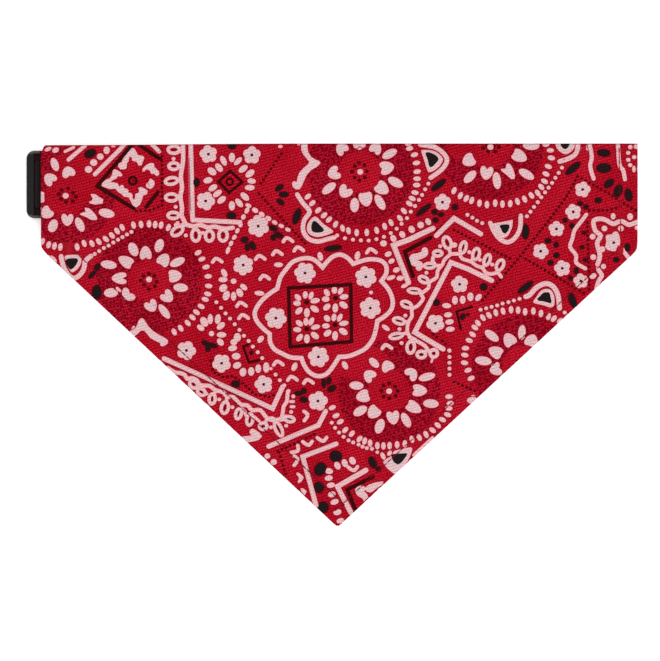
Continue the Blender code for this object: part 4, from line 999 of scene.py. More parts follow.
def draw_print():
    """Every shape of the print as (ink, outline); a later one lies over an earlier one."""
    under = []
    bleeds = []
    rims = []
    cores = []
    over = []

    def white(outline):
        if signed_area(outline) < 0.0:
            outline = outline[::-1]
        bleeds.append((BLEED, inset(outline, -BLEED_W)))
        rims.append((RIM, outline))
        cores.append((WHITE, inset(outline, RIM_W)))

    def white_oval(x, y, length, width, tilt=0.0):
        rims.append((RIM, oval(x, y, length, width, tilt)))
        if width > 1.45:
            bleeds.append((BLEED, oval(x, y, length + 2 * BLEED_W, width + 2 * BLEED_W, tilt)))
            cores.append((WHITE, oval(x, y, length - 2 * RIM_W, width - 2 * RIM_W, tilt)))

    def white_stroke(points, width, closed=False):
        bleeds.extend((BLEED, shape) for shape in stroke(points, width + 2 * BLEED_W, closed))
        rims.extend((RIM, shape) for shape in stroke(points, width, closed))
        cores.extend((WHITE, shape) for shape in stroke(points, width - 2 * RIM_W, closed))

    def black(outline):
        """A black piece, whose edge has run a little into the red."""
        if signed_area(outline) < 0.0:
            outline = outline[::-1]
        bleeds.append((BLEED, inset(outline, -BLEED_W)))
        put(over, LINE, outline)
        put(over, BLACK, inset(outline, 0.3))

    def put(layer, ink, *outlines):
        layer.extend((ink, outline) for outline in outlines)

    for line in DOTTED_LINES:
        put(under, DOTS, *dots_along(line, 1.9, 1.4))
    for centre, hearts, petals, beads, _ in WHEELS:
        for shape in hearts:
            white(heart(*shape))
        for x, y, length, width, tilt in petals:
            white_oval(x, y, length, width, toward(x, y, centre) if tilt is None else tilt)
        for x, y, tilt in beads:
            white_oval(x, y, 3.3, 2.1, toward(x, y, centre) if tilt is None else tilt)
    for eye, *dots in EYES:
        put(under, DOTS, *(oval(x, y, 1.9, 1.75) for x, y in dots))
        white_oval(*eye, 2.65, 2.5)
    for x, y in PEARLS:
        white_oval(x, y, 1.85, 1.75)
    for width, *points in WHITE_LINES:
        white_stroke(points, width)
    for width, *points in WHITE_CURVES:
        white_stroke(smooth_line(points), width)
    for x, y, radius, petals in FLOWERS:
        white(flower(x, y, radius, petals))
        put(over, DOTS, oval(x, y, 1.35, 1.3))
    scallops = []
    for row, following in zip(MEDALLION, MEDALLION[1:] + MEDALLION[:1]):
        scallops += smooth_line([*row, following[0]])[:-1]
    white_stroke(scallops, SCALLOP_W, closed=True)
    put(over, LINE, *stroke(SQUARE, 1.55, closed=True))
    put(over, LINE, *(oval(x, y, 1.6, 1.55) for x, y in SQUARE))
    for (x, y), petals in DAISIES:
        for petal in petals:
            white_oval(*petal)
        put(over, LINE, oval(x, y, 2.3, 2.0))
    for x, y, turn in CHEVRONS:
        wings = turned(((-2.0, -0.9), (-0.9, 0.7), (0.5, 0.5), (2.0, -0.5)), x, y, turn - 4)
        white_stroke(smooth_line(wings, steps=2), 1.6)
    for petal in DIAMOND_PETALS:
        white_oval(*petal)
    put(over, LINE, *stroke(DIAMOND, 1.3, closed=True))
    outer, inner = ring_line(*DIAMOND_RING, 1.0)
    put(over, LINE, outer)
    put(over, BARE, inner)
    for piece in BRUSHED:
        white(list(piece))
    outer, inner = ring_line(*BRUSHED_RING, 1.2)
    put(over, LINE, outer)
    put(over, BARE, inner)
    put(over, DOTS, oval(*BRUSHED_RING[:2], 0.9, 0.8))
    spines = [p for width, *points in WHITE_CURVES if width < SCALLOP_W for p in smooth_line(points)]
    for x, y, half_length, half_width, tilt in LOOPS:
        outer, inner = ring_line(x, y, half_length, half_width, tilt, 1.5)
        white(outer)
        near = min(spines, key=lambda p: math.hypot(p[0] - x, p[1] - y))
        if math.hypot(near[0] - x, near[1] - y) < half_length + 3.0:
            way = Vector((near[0] - x, near[1] - y)).normalized() * half_length * 0.8
            white_stroke(((x + way.x, y + way.y), near), 1.5)
        put(over, BARE, inner)
        put(over, DOTS, oval(x, y, half_length * 0.7, 0.6, tilt))
    for oval_shape in WHITE_OVALS:
        white_oval(*oval_shape)
    for shell, middle in TEARDROPS:
        white(smooth_line(shell, closed=True))
        put(over, LINE, smooth_line(middle, closed=True, steps=2))
        put(over, BLACK, inset(smooth_line(middle, closed=True, steps=2), 0.25))
    for leaf in BLACK_OVALS:
        black(oval(*leaf))
    for width, *points in BLACK_LINES:
        put(over, LINE, *stroke(points, width))
    return under + bleeds + rims + cores + over


def middle_of(outline):
    return Vector((sum(p[0] for p in outline), sum(p[1] for p in outline))) / len(outline)


# What is carried over the top fold lies above the first line; what is carried under a hem lies within this
# depth of its fold and below the last line
CARRIED_ABOVE_Y = 38.5
CARRIED_DEPTH = 10.5
CARRIED_BELOW_Y = 79.0


def carry_over(shapes):
    """Carry the print round the top fold and under the hems, mirrored, as a square bandana's print repeats.

    Its white pieces keep one outline each there, without the rim.
    """
    more = []
    for ink, outline in shapes:
        if ink in (WHITE, BLEED):
            continue
        if ink == RIM:
            ink = WHITE
        at = middle_of(outline)
        if at.y > CARRIED_ABOVE_Y:
            more.append((ink, [(x, 2 * FOLD_Y + 0.2 - y) for x, y in outline][::-1]))
        for point, outward, _ in HEMS.values():
            depth = (point - at).dot(outward)
            if 0.0 < depth < CARRIED_DEPTH and at.y < CARRIED_BELOW_Y:
                flipped = []
                for x, y in outline:
                    inside = (point - Vector((x, y))).dot(outward)
                    flipped.append((x + outward.x * 2 * inside, y + outward.y * 2 * inside))
                more.append((ink, flipped[::-1]))
    return more


# ---------------------------------------------------------------- helpers for pieces

def to_object(name, bm, *materials):
    """Turn a bmesh into an object in the scene."""
    mesh = bpy.data.meshes.new(name)
    bm.to_mesh(mesh)
    bm.free()
    for material in materials:
        mesh.materials.append(material)
    thing = bpy.data.objects.new(name, mesh)
    bpy.context.scene.collection.objects.link(thing)
    return thing


def new_piece(name, bm, *materials):
    """Turn a bmesh in millimetres into a piece in metres that rides on the collar."""
    bmesh.ops.scale(bm, vec=(MM, MM, MM), verts=bm.verts)
    piece = to_object(name, bm, *materials)
    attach(piece, "root")
    return piece


def inside_outline(x, y, outline):
    inside = False
    for a, b in zip(outline, outline[1:] + outline[:1]):
        if (a[1] > y) != (b[1] > y) and x < a[0] + (b[0] - a[0]) * (y - a[1]) / (b[1] - a[1]):
            inside = not inside
    return inside


# The net starts and ends just past the flat cut
NET_X = (-141.0, 146.0)


def cloth_grid(outline):
    """Points of the cloth's own mesh: an even net inside the cut."""
    points = []
    low = min(p[1] for p in outline)
    high = max(p[1] for p in outline)
    rows = int((high - low) / (WEAVE_STEP * ROW_RATIO)) + 1
    for row in range(rows):
        y = low + (row + 0.5) * WEAVE_STEP * ROW_RATIO
        x = NET_X[0] + (row % 2) * WEAVE_STEP / 2
        while x < NET_X[1]:
            if inside_outline(x, y, outline):
                points.append((x, y))
            x += WEAVE_STEP
    return points


def fold_lines():
    """Lines of the flat cut along which the cloth turns, so that its folds are round."""
    lines = []
    for step in range(9):
        y = FOLD_MID_Y + FOLD_ARC * step / 8
        lines.append(((CLOTH_LEFT_X + 0.1, y), (CLOTH_RIGHT_X - 0.1, y)))
    for name, (point, outward, _) in HEMS.items():
        along = Vector((-outward.y, outward.x))
        corner = LEFT_EDGE if name.startswith("left") else RIGHT_EDGE
        for step in range(5):
            line = point + outward * HEM_ARC * step / 4
            if name.endswith("end"):
                lines.append(((line.x, LEFT_CORNER_Y), (line.x, HEM_TOP_Y - 0.4)))
            else:
                reaches = [(end - point).dot(along) for end in (corner, Vector(POINT))]
                lines.append([tuple(line + along * reach * 0.998) for reach in reaches])
    return lines


BIN = 4.0                # side of the small squares that the shapes are sorted into


def sort_by_place(outlines):
    """Which outlines reach into each small square of the flat cut, in the order they were drawn."""
    places = {}
    for index, outline in enumerate(outlines):
        xs = [p[0] for p in outline]
        ys = [p[1] for p in outline]
        for i in range(math.floor(min(xs) / BIN), math.floor(max(xs) / BIN) + 1):
            for j in range(math.floor(min(ys) / BIN), math.floor(max(ys) / BIN) + 1):
                places.setdefault((i, j), []).append(index)
    return places


def topmost(x, y, outlines, places):
    """The last drawn outline that holds the point, or None."""
    for index in reversed(places.get((math.floor(x / BIN), math.floor(y / BIN)), ())):
        if inside_outline(x, y, outlines[index]):
            return index
    return None


def spaced(start, end, step=3.5):
    """Points along a straight line, evenly spaced, without its last one."""
    count = max(1, round((end - start).length / step))
    return [start.lerp(end, i / count) for i in range(count)]


def lay_out(outline, ring, shapes, grounds):
    """The cloth inside a ring of points: its flat points, and its triangles (corners, ink, stippled)."""
    points = []
    edges = []
    for loop in [ring, *(g[1] for g in grounds), *(s[1] for s in shapes)]:
        first = len(points)
        points += [Vector(p) for p in loop]
        edges += [(first + i, first + (i + 1) % len(loop)) for i in range(len(loop))]
    for start, end in fold_lines():
        line = [*spaced(Vector(start), Vector(end)), Vector(end)]
        edges += [(len(points) + i, len(points) + i + 1) for i in range(len(line) - 1)]
        points += line
    points += [Vector(p) for p in cloth_grid(outline)]
    flat, lines, triangles, _, sources, _ = delaunay_2d_cdt(points, edges, [], 0, 1e-4)
    rim = {
        frozenset(line) for line, made_from in zip(lines, sources)
        if any(edge < len(ring) for edge in made_from)
    }
    triangles = within_rim(triangles, rim, flat)
    print_outlines = [s[1] for s in shapes]
    print_places = sort_by_place(print_outlines)
    ground_outlines = [g[1] for g in grounds]
    ground_places = sort_by_place(ground_outlines)
    cells = []
    for triangle in triangles:
        at = (flat[triangle[0]] + flat[triangle[1]] + flat[triangle[2]]) / 3
        top = topmost(at.x, at.y, print_outlines, print_places)
        ground = topmost(at.x, at.y, ground_outlines, ground_places)
        ink = BARE if top is None else shapes[top][0]
        cells.append((triangle, ink, float(ground is not None and grounds[ground][0])))
    return flat, cells


def within_rim(triangles, rim, flat):
    """The triangles that can be reached from the middle of the cloth without crossing its rim."""
    beside = {}
    for index, t in enumerate(triangles):
        for i in range(3):
            beside.setdefault(frozenset((t[i], t[(i + 1) % 3])), []).append(index)
    middle = Vector((0.0, 20.0))
    nearest = min(range(len(triangles)), key=lambda n: (flat[triangles[n][0]] - middle).length)
    reached = {nearest}
    waiting = [nearest]
    while waiting:
        t = triangles[waiting.pop()]
        for i in range(3):
            side = frozenset((t[i], t[(i + 1) % 3]))
            if side in rim:
                continue
            for index in beside[side]:
                if index not in reached:
                    reached.add(index)
                    waiting.append(index)
    return [triangles[index] for index in sorted(reached)]


def edge_ring(cells):
    """The corners along the edge of a sheet of triangles, in order."""
    ways = {(t[i], t[(i + 1) % 3]) for t, *_ in cells for i in range(3)}
    following = {a: b for a, b in sorted(ways) if (b, a) not in ways}
    ring = [next(iter(sorted(following)))]
    while following[ring[-1]] != ring[0]:
        ring.append(following[ring[-1]])
    return ring


# The reverse shows its print below this line only, because the flap covers the rest
REVERSE_PRINT_Y = 41.0
PLAIN_MIDDLE = 9.0       # the ground round a wheel's eye is plain out to here


def print_cloth():
    """The flat outline, the printed face and the reverse, and the ring of the face's points along its edge.

    The reverse repeats the face's edge points.  It shows the print more simply, and only below the flap.
    """
    corners = flat_outline()
    outline = [tuple(p) for a, b in zip(corners, corners[1:] + corners[:1]) for p in spaced(a, b)]
    drawn = draw_print()
    shapes = carry_over(drawn) + drawn
    grounds = []
    for centre, *_, radius in WHEELS:
        for reach, inked in ((radius, True), (PLAIN_MIDDLE, False)):
            turns = [math.tau * i / 60 for i in range(60)]
            circle = [(centre[0] + reach * math.cos(t), centre[1] + reach * math.sin(t)) for t in turns]
            grounds.append((inked, circle))
    grounds += [(False, oval(*plain, sides=48)) for plain in PLAIN_GROUNDS]
    face = lay_out(outline, outline, shapes, grounds)
    ring = edge_ring(face[1])
    through = []
    for ink, shape in drawn:
        if ink in (WHITE, BLEED) or middle_of(shape).y > REVERSE_PRINT_Y:
            continue
        if all(inside_outline(x, y, outline) for x, y in shape):
            through.append((WHITE if ink == RIM else ink, shape))
    reverse = lay_out(outline, [tuple(face[0][i]) for i in ring], through, [])
    return outline, face, reverse, ring


def cut_uv(point):
    return point.x / CUT_SPAN + 0.5, point.y / CUT_SPAN + 0.5


def lay_side(bm, flat, cells, back):
    """Fold one side of the cloth into shape; gives back its vertices by their flat places' numbers."""
    ink_layer = bm.loops.layers.color["print"]
    ground_layer = bm.loops.layers.color["ground"]
    bleed_layer = bm.loops.layers.color["bleed"]
    uv_layer = bm.loops.layers.uv["flat_cut"]
    verts = {}
    for triangle, ink, stipple in cells:
        if back:
            triangle = triangle[::-1]
        for index in triangle:
            if index not in verts:
                verts[index] = bm.verts.new(fold_cloth(flat[index].x, flat[index].y))
        face = bm.faces.new([verts[index] for index in triangle])
        face.smooth = True
        face.material_index = int(back)
        for loop, index in zip(face.loops, triangle):
            loop[ink_layer] = (*ink[:3], 1.0)
            loop[ground_layer] = (stipple, ink[3], ink[4], 1.0)
            loop[bleed_layer] = (ink[5], 0.0, 0.0, 1.0)
            loop[uv_layer].uv = cut_uv(flat[index])
    return verts


def make_cloth(printed, reverse):
    """The whole bandana as one closed sheet, with the size and area of its flat cut in metres."""
    outline, face_side, back_side, ring = print_cloth()
    bm = bmesh.new()
    for name in ("print", "ground", "bleed"):
        bm.loops.layers.color.new(name)
    uv_layer = bm.loops.layers.uv.new("flat_cut")
    face_verts = lay_side(bm, *face_side, back=False)
    back_verts = lay_side(bm, *back_side, back=True)
    bm.normal_update()
    for vert in bm.verts:
        vert.co += vert.normal * CLOTH_T / 2
    # close the cut edge between the two sides
    flat = face_side[0]
    places = KDTree(len(back_side[0]))
    for index in back_verts:
        places.insert((*back_side[0][index], 0.0), index)
    places.balance()
    mates = [back_verts[places.find((*flat[i], 0.0))[1]] for i in ring]
    for k, i in enumerate(ring):
        j = (k + 1) % len(ring)
        corners = (face_verts[ring[j]], face_verts[i], mates[k], mates[j])
        edge = bm.faces.new(tuple(dict.fromkeys(corners)))
        edge.material_index = 1
        for side in edge.edges:
            side.smooth = False
        for loop in edge.loops:
            loop[uv_layer].uv = cut_uv(flat[i])
    cloth = new_piece("printed_bandana", bm, printed, reverse)
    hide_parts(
        "bandana_cloth", "hem_left_end", "hem_right_end", "hem_left_diagonal", "hem_right_diagonal"
    )
    width = max(p[0] for p in outline) - min(p[0] for p in outline)
    length = max(p[1] for p in outline) - min(p[1] for p in outline)
    return cloth, (width * MM, length * MM), abs(signed_area(outline)) * MM * MM


# ---------------------------------------------------------------- thread

def thread_piece(bm, start, end, width, rise, sides=6):
    """One stitch: a short round thread from start to end that stands up by rise in its middle."""
    along = (end - start).normalized()
    side = along.cross(Vector((0.0, 0.0, 1.0)))
    side = side.normalized() if side.length > 0.01 else Vector((1.0, 0.0, 0.0))
    up = side.cross(along).normalized()
    rings = []
    for t, thick in ((0.0, 0.35), (0.12, 0.85), (0.5, 1.0), (0.88, 0.85), (1.0, 0.35)):
        middle = start.lerp(end, t) + up * rise * (math.sin(math.pi * t) - 0.35)
        ring = []
        for i in range(sides):
            a = math.tau * i / sides
            off = (side * math.cos(a) + up * math.sin(a) * 0.7) * width / 2 * thick
            ring.append(bm.verts.new(middle + off))
        rings.append(ring)
    for one, two in zip(rings, rings[1:]):
        for i in range(sides):
            face = bm.faces.new((one[i], one[(i + 1) % sides], two[(i + 1) % sides], two[i]))
            face.smooth = True
    bm.faces.new(rings[0][::-1])
    bm.faces.new(rings[-1])


def stitch_along(bm, start, end, height, pitch=2.5, length=2.3, width=0.38, rise=0.05):
    """A row of running stitches between two points, lying on a surface whose height is given."""
    a = Vector(start)
    b = Vector(end)
    count = max(1, int((b - a).length / pitch))
    way = (b - a).normalized()
    step = (b - a).length / count
    for i in range(count):
        p = a + way * step * i
        q = p + way * length * step / pitch
        thread_piece(
            bm,
            Vector((p.x, p.y, height(p.x, p.y))),
            Vector((q.x, q.y, height(q.x, q.y))),
            width,
            rise,
        )


def on_front(x, y):
    """Where a thread lies on the front of the cloth."""
    return front_z(x, y) + CLOTH_T / 2 + 0.04


def make_hem_stitches(thread, red_thread):
    """The rows of stitches that show on the front, along the right end and both diagonals."""
    bm = bmesh.new()
    right_x = CLOTH_RIGHT_X - RIGHT_END_HEM - 0.2
    # the left end's hem is caught from behind, so no thread shows on its front
    stitch_along(bm, (right_x - 0.9, 79.6), (right_x - 0.6, 64.6), on_front, width=0.55)
    stitch_along(bm, (right_x - 0.5, 58.8), (right_x + 0.1, 30.6), on_front, width=0.55)
    for face in bm.faces:
        face.material_index = 1
    tip = Vector(POINT)
    for corner, outward, inwards in ((LEFT_EDGE, LEFT_OUT, 9.5), (RIGHT_EDGE, RIGHT_OUT, 5.9)):
        along = (tip - corner).normalized()
        a = corner - outward * inwards + along * 3.0
        b = tip - outward * inwards - along * 4.0
        stitch_along(bm, a, b, on_front, width=0.46)
    # pulled tight where the cloth is stiff with ink, the thread sinks in
    stitch_along(bm, (right_x - 0.6, 64.6), (right_x - 0.5, 58.8), on_front, width=0.2, rise=0.0)
    return new_piece("hem_stitching", bm, thread, red_thread)


def make_bar_tacks(thread):
    """Close satin stitches that hold the flap's lower corners."""
    bm = bmesh.new()
    for x0, x1, y0, y1 in ((-114.0, -109.8, 35.4, 39.2), (121.6, 124.0, 35.2, 37.6)):
        count = 15
        for i in range(count):
            y = y0 + (y1 - y0) * i / (count - 1)
            lean = 0.18 if i % 2 else -0.18
            a = Vector((x0, y - lean, on_front(x0, y) - 0.02))
            b = Vector((x1, y + lean, on_front(x1, y) - 0.02))
            thread_piece(bm, a, b, 0.52, 0.06)
    return new_piece("bar_tacks", bm, thread)


# ---------------------------------------------------------------- webbing

def rounded(route, steps):
    """Round the corners of a route of (x, z, radius) stations."""
    points = [Vector(route[0][:2])]
    for before, here, after in zip(route, route[1:], route[2:]):
        corner = Vector(here[:2])
        back = (Vector(before[:2]) - corner).normalized()
        on = (Vector(after[:2]) - corner).normalized()
        radius = here[2]
        half = math.acos(max(-1.0, min(1.0, back.dot(on)))) / 2
        if radius <= 0.0 or half > math.radians(89.0):
            points.append(corner)
            continue
        reach = radius / math.tan(half)
        centre = corner + (back + on).normalized() * radius / math.sin(half)
        start = corner + back * reach - centre
        sweep = start.angle_signed(corner + on * reach - centre)
        count = max(2, math.ceil(abs(sweep) / (math.pi / 2) * steps))
        for step in range(count + 1):
            a = -sweep * step / count
            points.append(centre + Vector((
                start.x * math.cos(a) - start.y * math.sin(a),
                start.x * math.sin(a) + start.y * math.cos(a),
            )))
    points.append(Vector(route[-1][:2]))
    return points


STRAP_COLUMNS = (
    -120.0, -117.0, -113.7, -108.6, -98.0, -86.0, -78.0, -70.0, -62.0, -54.0, -46.0,
    -36.0, -25.0, -11.0, 2.0, 18.0, 36.0, 54.0, 72.0, 90.0, 108.0,
)


def strap_route():
    """Middle of the webbing, from its free end in the adjuster to its sewn end at the socket half."""
    lift = WALL + GAP + STRAP_T / 2
    slot_a = LEFT_X + LIP_X + GAP + STRAP_T / 2
    slot_b = LEFT_X + LIP_X + SLOT_X + BAR_X + SLOT_X / 2
    under_bar = BAR_UNDER - GAP - STRAP_T / 2
    on_shoulder = FRAME_T + GAP + STRAP_T / 2
    route = [
        (LEFT_X + SHOULDER_X - 2.0, on_shoulder, 0.0),
        (slot_b, on_shoulder, STRAP_BEND),
        (slot_b, under_bar, STRAP_BEND),
        (slot_a, under_bar, STRAP_BEND),
        (slot_a, hump(CLOTH_LEFT_X) + lift, STRAP_BEND),
        (FLAP_LEFT_X, hump(FLAP_LEFT_X) + lift, 0.0),
    ]
    for x in STRAP_COLUMNS:
        route.append((x, max(hump(x), STRAP_T + GAP) + lift, 0.0))
    turn = FLAP_RIGHT_X + 0.3 + STRAP_BEND + 0.2
    route += [
        (turn, STRAP_T + GAP + lift, 1.49),
        (turn, STRAP_T / 2, 1.49),
    ]
    slot_c = LEFT_X + SOCKET_END_X + SLOT_X / 2
    over_bar = LIP_T - 0.2 + GAP + STRAP_T / 2
    doubled = STRAP_T * 1.5 + GAP
    route += [
        (slot_c, STRAP_T / 2, STRAP_BEND),
        (slot_c, over_bar, STRAP_BEND),
        (LEFT_X + BUCKLE_L + 0.4, over_bar, 3.0),
        (LEFT_X + BUCKLE_L + 8.4, doubled, 3.0),
        (LEFT_X + BUCKLE_L + 26.0, doubled, 0.0),
    ]
    return rounded(route, 6)


def even_steps(points, pitch):
    """More stations along the straight runs."""
    line = [points[0]]
    for a, b in zip(points, points[1:]):
        count = max(1, round((b - a).length / pitch))
        line += [a.lerp(b, i / count) for i in range(1, count + 1)]
    return line


# Half of the webbing's section, from the middle of one face to the middle of the other: across, up.
# The selvedge is rounded and a little thinner than the rest.
WEBBING_HALF = (
    (0.0, -0.70), (5.0, -0.70), (8.6, -0.68), (9.5, -0.55), (9.93, -0.25), (9.98, 0.0),
    (9.93, 0.25), (9.5, 0.55), (8.6, 0.68), (5.0, 0.70), (0.0, 0.70),
)


def make_webbing(nylon):
    route = even_steps(strap_route(), 2.5)
    section = list(WEBBING_HALF) + [(-a, u) for a, u in WEBBING_HALF[1:-1]][::-1]
    bm = bmesh.new()
    uv_layer = bm.loops.layers.uv.new("along_webbing")
    rings = []
    along = [0.0]
    for i, here in enumerate(route):
        before = route[max(i - 1, 0)]
        after = route[min(i + 1, len(route) - 1)]
        in_way = (here - before).normalized() if i else (after - here).normalized()
        out_way = (after - here).normalized() if i < len(route) - 1 else in_way
        way = (in_way + out_way).normalized()
        side = Vector((-way.y, way.x)) / max(way.dot(in_way), 0.5)
        rings.append([
            bm.verts.new((here.x + side.x * up, STRAP_Y + across, here.y + side.y * up))
            for across, up in section
        ])
        if i:
            along.append(along[-1] + (here - before).length)
    count = len(section)
    for i, (one, two) in enumerate(zip(rings, rings[1:])):
        for k in range(count):
            nxt = (k + 1) % count
            face = bm.faces.new((one[k], one[nxt], two[nxt], two[k]))
            face.smooth = True
            for loop, (station, place) in zip(face.loops, ((i, k), (i, nxt), (i + 1, nxt), (i + 1, k))):
                loop[uv_layer].uv = (along[station] / WEBBING_SPAN, section[place][0] / WEBBING_SPAN + 0.5)
    bm.faces.new(rings[0])
    bm.faces.new(rings[-1][::-1])
    bmesh.ops.recalc_face_normals(bm, faces=bm.faces)
    webbing = new_piece("collar_webbing", bm, nylon)
    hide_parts("collar_strap")


def make_box_stitch(thread):
    """The sewn end of the webbing: a rectangle of stitches with a cross in it."""
    top = STRAP_T * 2 + GAP + 0.03
    start_x = LEFT_X + BUCKLE_L + 10.0
    corners = box_outline(start_x, start_x + 14.0, STRAP_Y - 7.5, STRAP_Y + 7.5)
    rows = [*zip(corners, corners[1:] + corners[:1]), (corners[0], corners[2]), (corners[3], corners[1])]
    bm = bmesh.new()
    for start, end in rows:
        stitch_along(bm, start, end, lambda x, y: top, pitch=2.4, length=2.0, width=0.5)
    new_piece("box_stitch", bm, thread)


# ---------------------------------------------------------------- buckle

def slab(bm, outline, z0, z1):
    """Raise a flat outline of (x, y) from z0 to z1."""
    face = bm.faces.new([bm.verts.new((x, y, z0)) for x, y in outline])
    raised = bmesh.ops.extrude_face_region(bm, geom=[face])
    tops = [item for item in raised["geom"] if isinstance(item, bmesh.types.BMVert)]
    bmesh.ops.translate(bm, vec=(0.0, 0.0, z1 - z0), verts=tops)
    return tops


def box_outline(x0, x1, y0, y1):
    return [(x0, y0), (x1, y0), (x1, y1), (x0, y1)]


def rounded_plan(x0, x1, half_width, outer_radius, inner_radius, steps=6):
    """A rectangle's outline, its corners rounded by one radius at x0 and another at x1."""
    corners = (
        (x0, -half_width, outer_radius, math.pi),
        (x1, -half_width, inner_radius, math.pi * 1.5),
        (x1, half_width, inner_radius, 0.0),
        (x0, half_width, outer_radius, math.pi * 0.5),
    )
    outline = []
    for x, y, radius, start in corners:
        cx = x + radius if x == x0 else x - radius
        cy = y + radius if y < 0 else y - radius
        for step in range(steps + 1):
            a = start + math.pi / 2 * step / steps
            outline.append((cx + radius * math.cos(a), cy + radius * math.sin(a)))
    return outline


def loose(bm, name):
    """A helper mesh in buckle millimetres."""
    bmesh.ops.recalc_face_normals(bm, faces=bm.faces)
    return to_object(name, bm)


def settle(thing, helpers):
    """Apply a helper's modifiers and give back its mesh; the helpers go."""
    graph = bpy.context.evaluated_depsgraph_get()
    mesh = bpy.data.meshes.new_from_object(thing.evaluated_get(graph))
    for helper in [thing, *helpers]:
        bpy.data.objects.remove(helper, do_unlink=True)
    return mesh


def shaped(body, parts, softness):
    """Join and cut parts, then round every edge a little, as a mould does."""
    helpers = []
    for bm, operation in parts:
        helper = loose(bm, "helper")
        step = body.modifiers.new("step", "BOOLEAN")
        step.operation = operation
        step.object = helper
        step.solver = "EXACT"
        helpers.append(helper)
    edge = body.modifiers.new("edge", "BEVEL")
    edge.width = softness
    edge.segments = 2
    edge.limit_method = "ANGLE"
    edge.angle_limit = math.radians(35.0)
    return settle(body, helpers)


def cut_box(x0, x1, y0, y1, z0, z1):
    bm = bmesh.new()
    slab(bm, box_outline(x0, x1, y0, y1), z0, z1)
    return bm, "DIFFERENCE"


def placed_piece(name, mesh, *finishes):
    """Bring a buckle mesh to its place on the collar."""
    bm = bmesh.new()
    bm.from_mesh(mesh)
    bpy.data.meshes.remove(mesh)
    for face in bm.faces:
        face.smooth = True
    bmesh.ops.translate(bm, vec=(LEFT_X, STRAP_Y, 0.0), verts=bm.verts)
    piece = new_piece(name, bm, *finishes)
    piece.data.set_sharp_from_angle(angle=math.radians(38.0))
    return piece


# One prong's outline with its hooked end, seen from above
PRONG = (
    (SHOULDER_X - 1.0, 6.6), (26.5, 6.6), (38.5, 7.4), (40.0, 8.6), (37.0, 13.4),
    (33.0, 13.9), (28.2, 12.2), (27.6, 9.6), (SHOULDER_X - 1.0, 9.6),
)


def make_adjuster_half(acetal, matt, rim_highlight):
    """The half that the webbing is threaded through: a ribbed grip bar, slots, two prongs and a tongue."""
    half = BUCKLE_W / 2 + 0.4
    slot_half = BUCKLE_W / 2 - RAIL_W
    pocket_half = half - 1.3
    pocket_end = CLOTH_LEFT_X - LEFT_X - 0.4
    slot_b = LIP_X + SLOT_X + BAR_X
    far = half + 1.0
    bm = bmesh.new()
    tops = slab(bm, rounded_plan(0.0, SHOULDER_X, half, 3.3, 0.8), 0.0, LIP_T)
    rim = [edge for edge in bm.edges if edge.verts[0] in tops and edge.verts[1] in tops]
    bmesh.ops.bevel(
        bm, geom=rim, offset=1.1, offset_type="OFFSET", segments=2, profile=0.5, affect="EDGES", material=-1
    )
    body = loose(bm, "adjuster")
    parts = [
        cut_box(pocket_end, SHOULDER_X + 1.0, -far, far, FRAME_T, LIP_T + 1.0),
        # behind the lip a pocket, and in its floor the slot that the webbing passes through
        cut_box(LIP_X - 0.1, LIP_X + SLOT_X, -pocket_half, pocket_half, 2.2, LIP_T + 1.0),
        cut_box(LIP_X + 0.25, LIP_X + SLOT_X, -10.1, 10.1, 0.22, LIP_T + 1.0),
        cut_box(slot_b, slot_b + SLOT_X, -slot_half, slot_half, -1.0, LIP_T + 1.0),
        # the channel under the bar, with a thin lip left round its foot
        cut_box(LIP_X + 0.25, slot_b + 0.5, -10.1, 10.1, 0.22, BAR_UNDER),
        cut_box(LIP_X + 0.8, slot_b + 0.5, -9.6, 9.6, -1.0, 1.0),
    ]
    # three fine grooves along the grip lip
    for x in (0.85, 1.6, 2.35):
        parts.append(cut_box(x - 0.14, x + 0.14, -half + 1.8, half - 1.8, LIP_T - 0.28, LIP_T + 1.0))
    for side in (-1, 1):
        prong = bmesh.new()
        slab(prong, [(x, side * y) for x, y in PRONG][::side], *PRONG_Z)
        parts.append((prong, "UNION"))
    tongue = bmesh.new()
    slab(tongue, box_outline(SHOULDER_X - 1.0, 34.0, -1.6, 1.6), *PRONG_Z)
    parts.append((tongue, "UNION"))
    mesh = shaped(body, parts, 0.22)
    for face in mesh.polygons:
        at = face.center
        inside = at.x > LIP_X - 0.05 and abs(at.y) < pocket_half + 0.05 and 0.1 < at.z < LIP_T - 0.05
        # the pocket's faces take the finish painted with the red light bounced from the cloth
        if inside and face.normal.z > -0.5:
            face.material_index = 1
        # the sloped rim faces along the sides take a paler finish, a painted highlight where the rim catches
        # the light
        elif 0.2 < face.normal.z < 0.95 and abs(face.normal.y) > 0.3 and at.z > LIP_T - 1.5:
            face.material_index = 2
    piece = placed_piece("buckle_adjuster", mesh, acetal, matt, rim_highlight)
    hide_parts("buckle_adjuster_half")


def make_socket_half(acetal):
    """The half that the webbing is sewn to: a hollow housing with side windows, and a bar behind a slot."""
    half = BUCKLE_W / 2
    slot_half = half - RAIL_W
    far = half + 1.0
    bm = bmesh.new()
    slab(bm, rounded_plan(SOCKET_X, SOCKET_END_X + 0.8, half, 0.8, 2.0), 0.0, BUCKLE_T)
    body = loose(bm, "socket")
    tail = bmesh.new()
    slab(tail, rounded_plan(SOCKET_END_X - 4.0, BUCKLE_L, half, 0.8, 2.5), 0.0, LIP_T - 0.2)
    parts = [
        (tail, "UNION"),
        cut_box(SOCKET_END_X, SOCKET_END_X + SLOT_X, -slot_half, slot_half, -1.0, BUCKLE_T + 1.0),
        cut_box(SOCKET_END_X + 0.1, BUCKLE_L + 1.0, -slot_half, slot_half, -1.0, BAR_UNDER),
        cut_box(SOCKET_X - 1.0, 41.5, -CAVITY_W / 2, CAVITY_W / 2, *CAVITY_Z),
        cut_box(WINDOW_X[0], WINDOW_X[1], -far, far, *CAVITY_Z),
    ]
    mesh = shaped(body, parts, 0.3)
    piece = placed_piece("buckle_socket", mesh, acetal)
    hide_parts("buckle_socket_half")


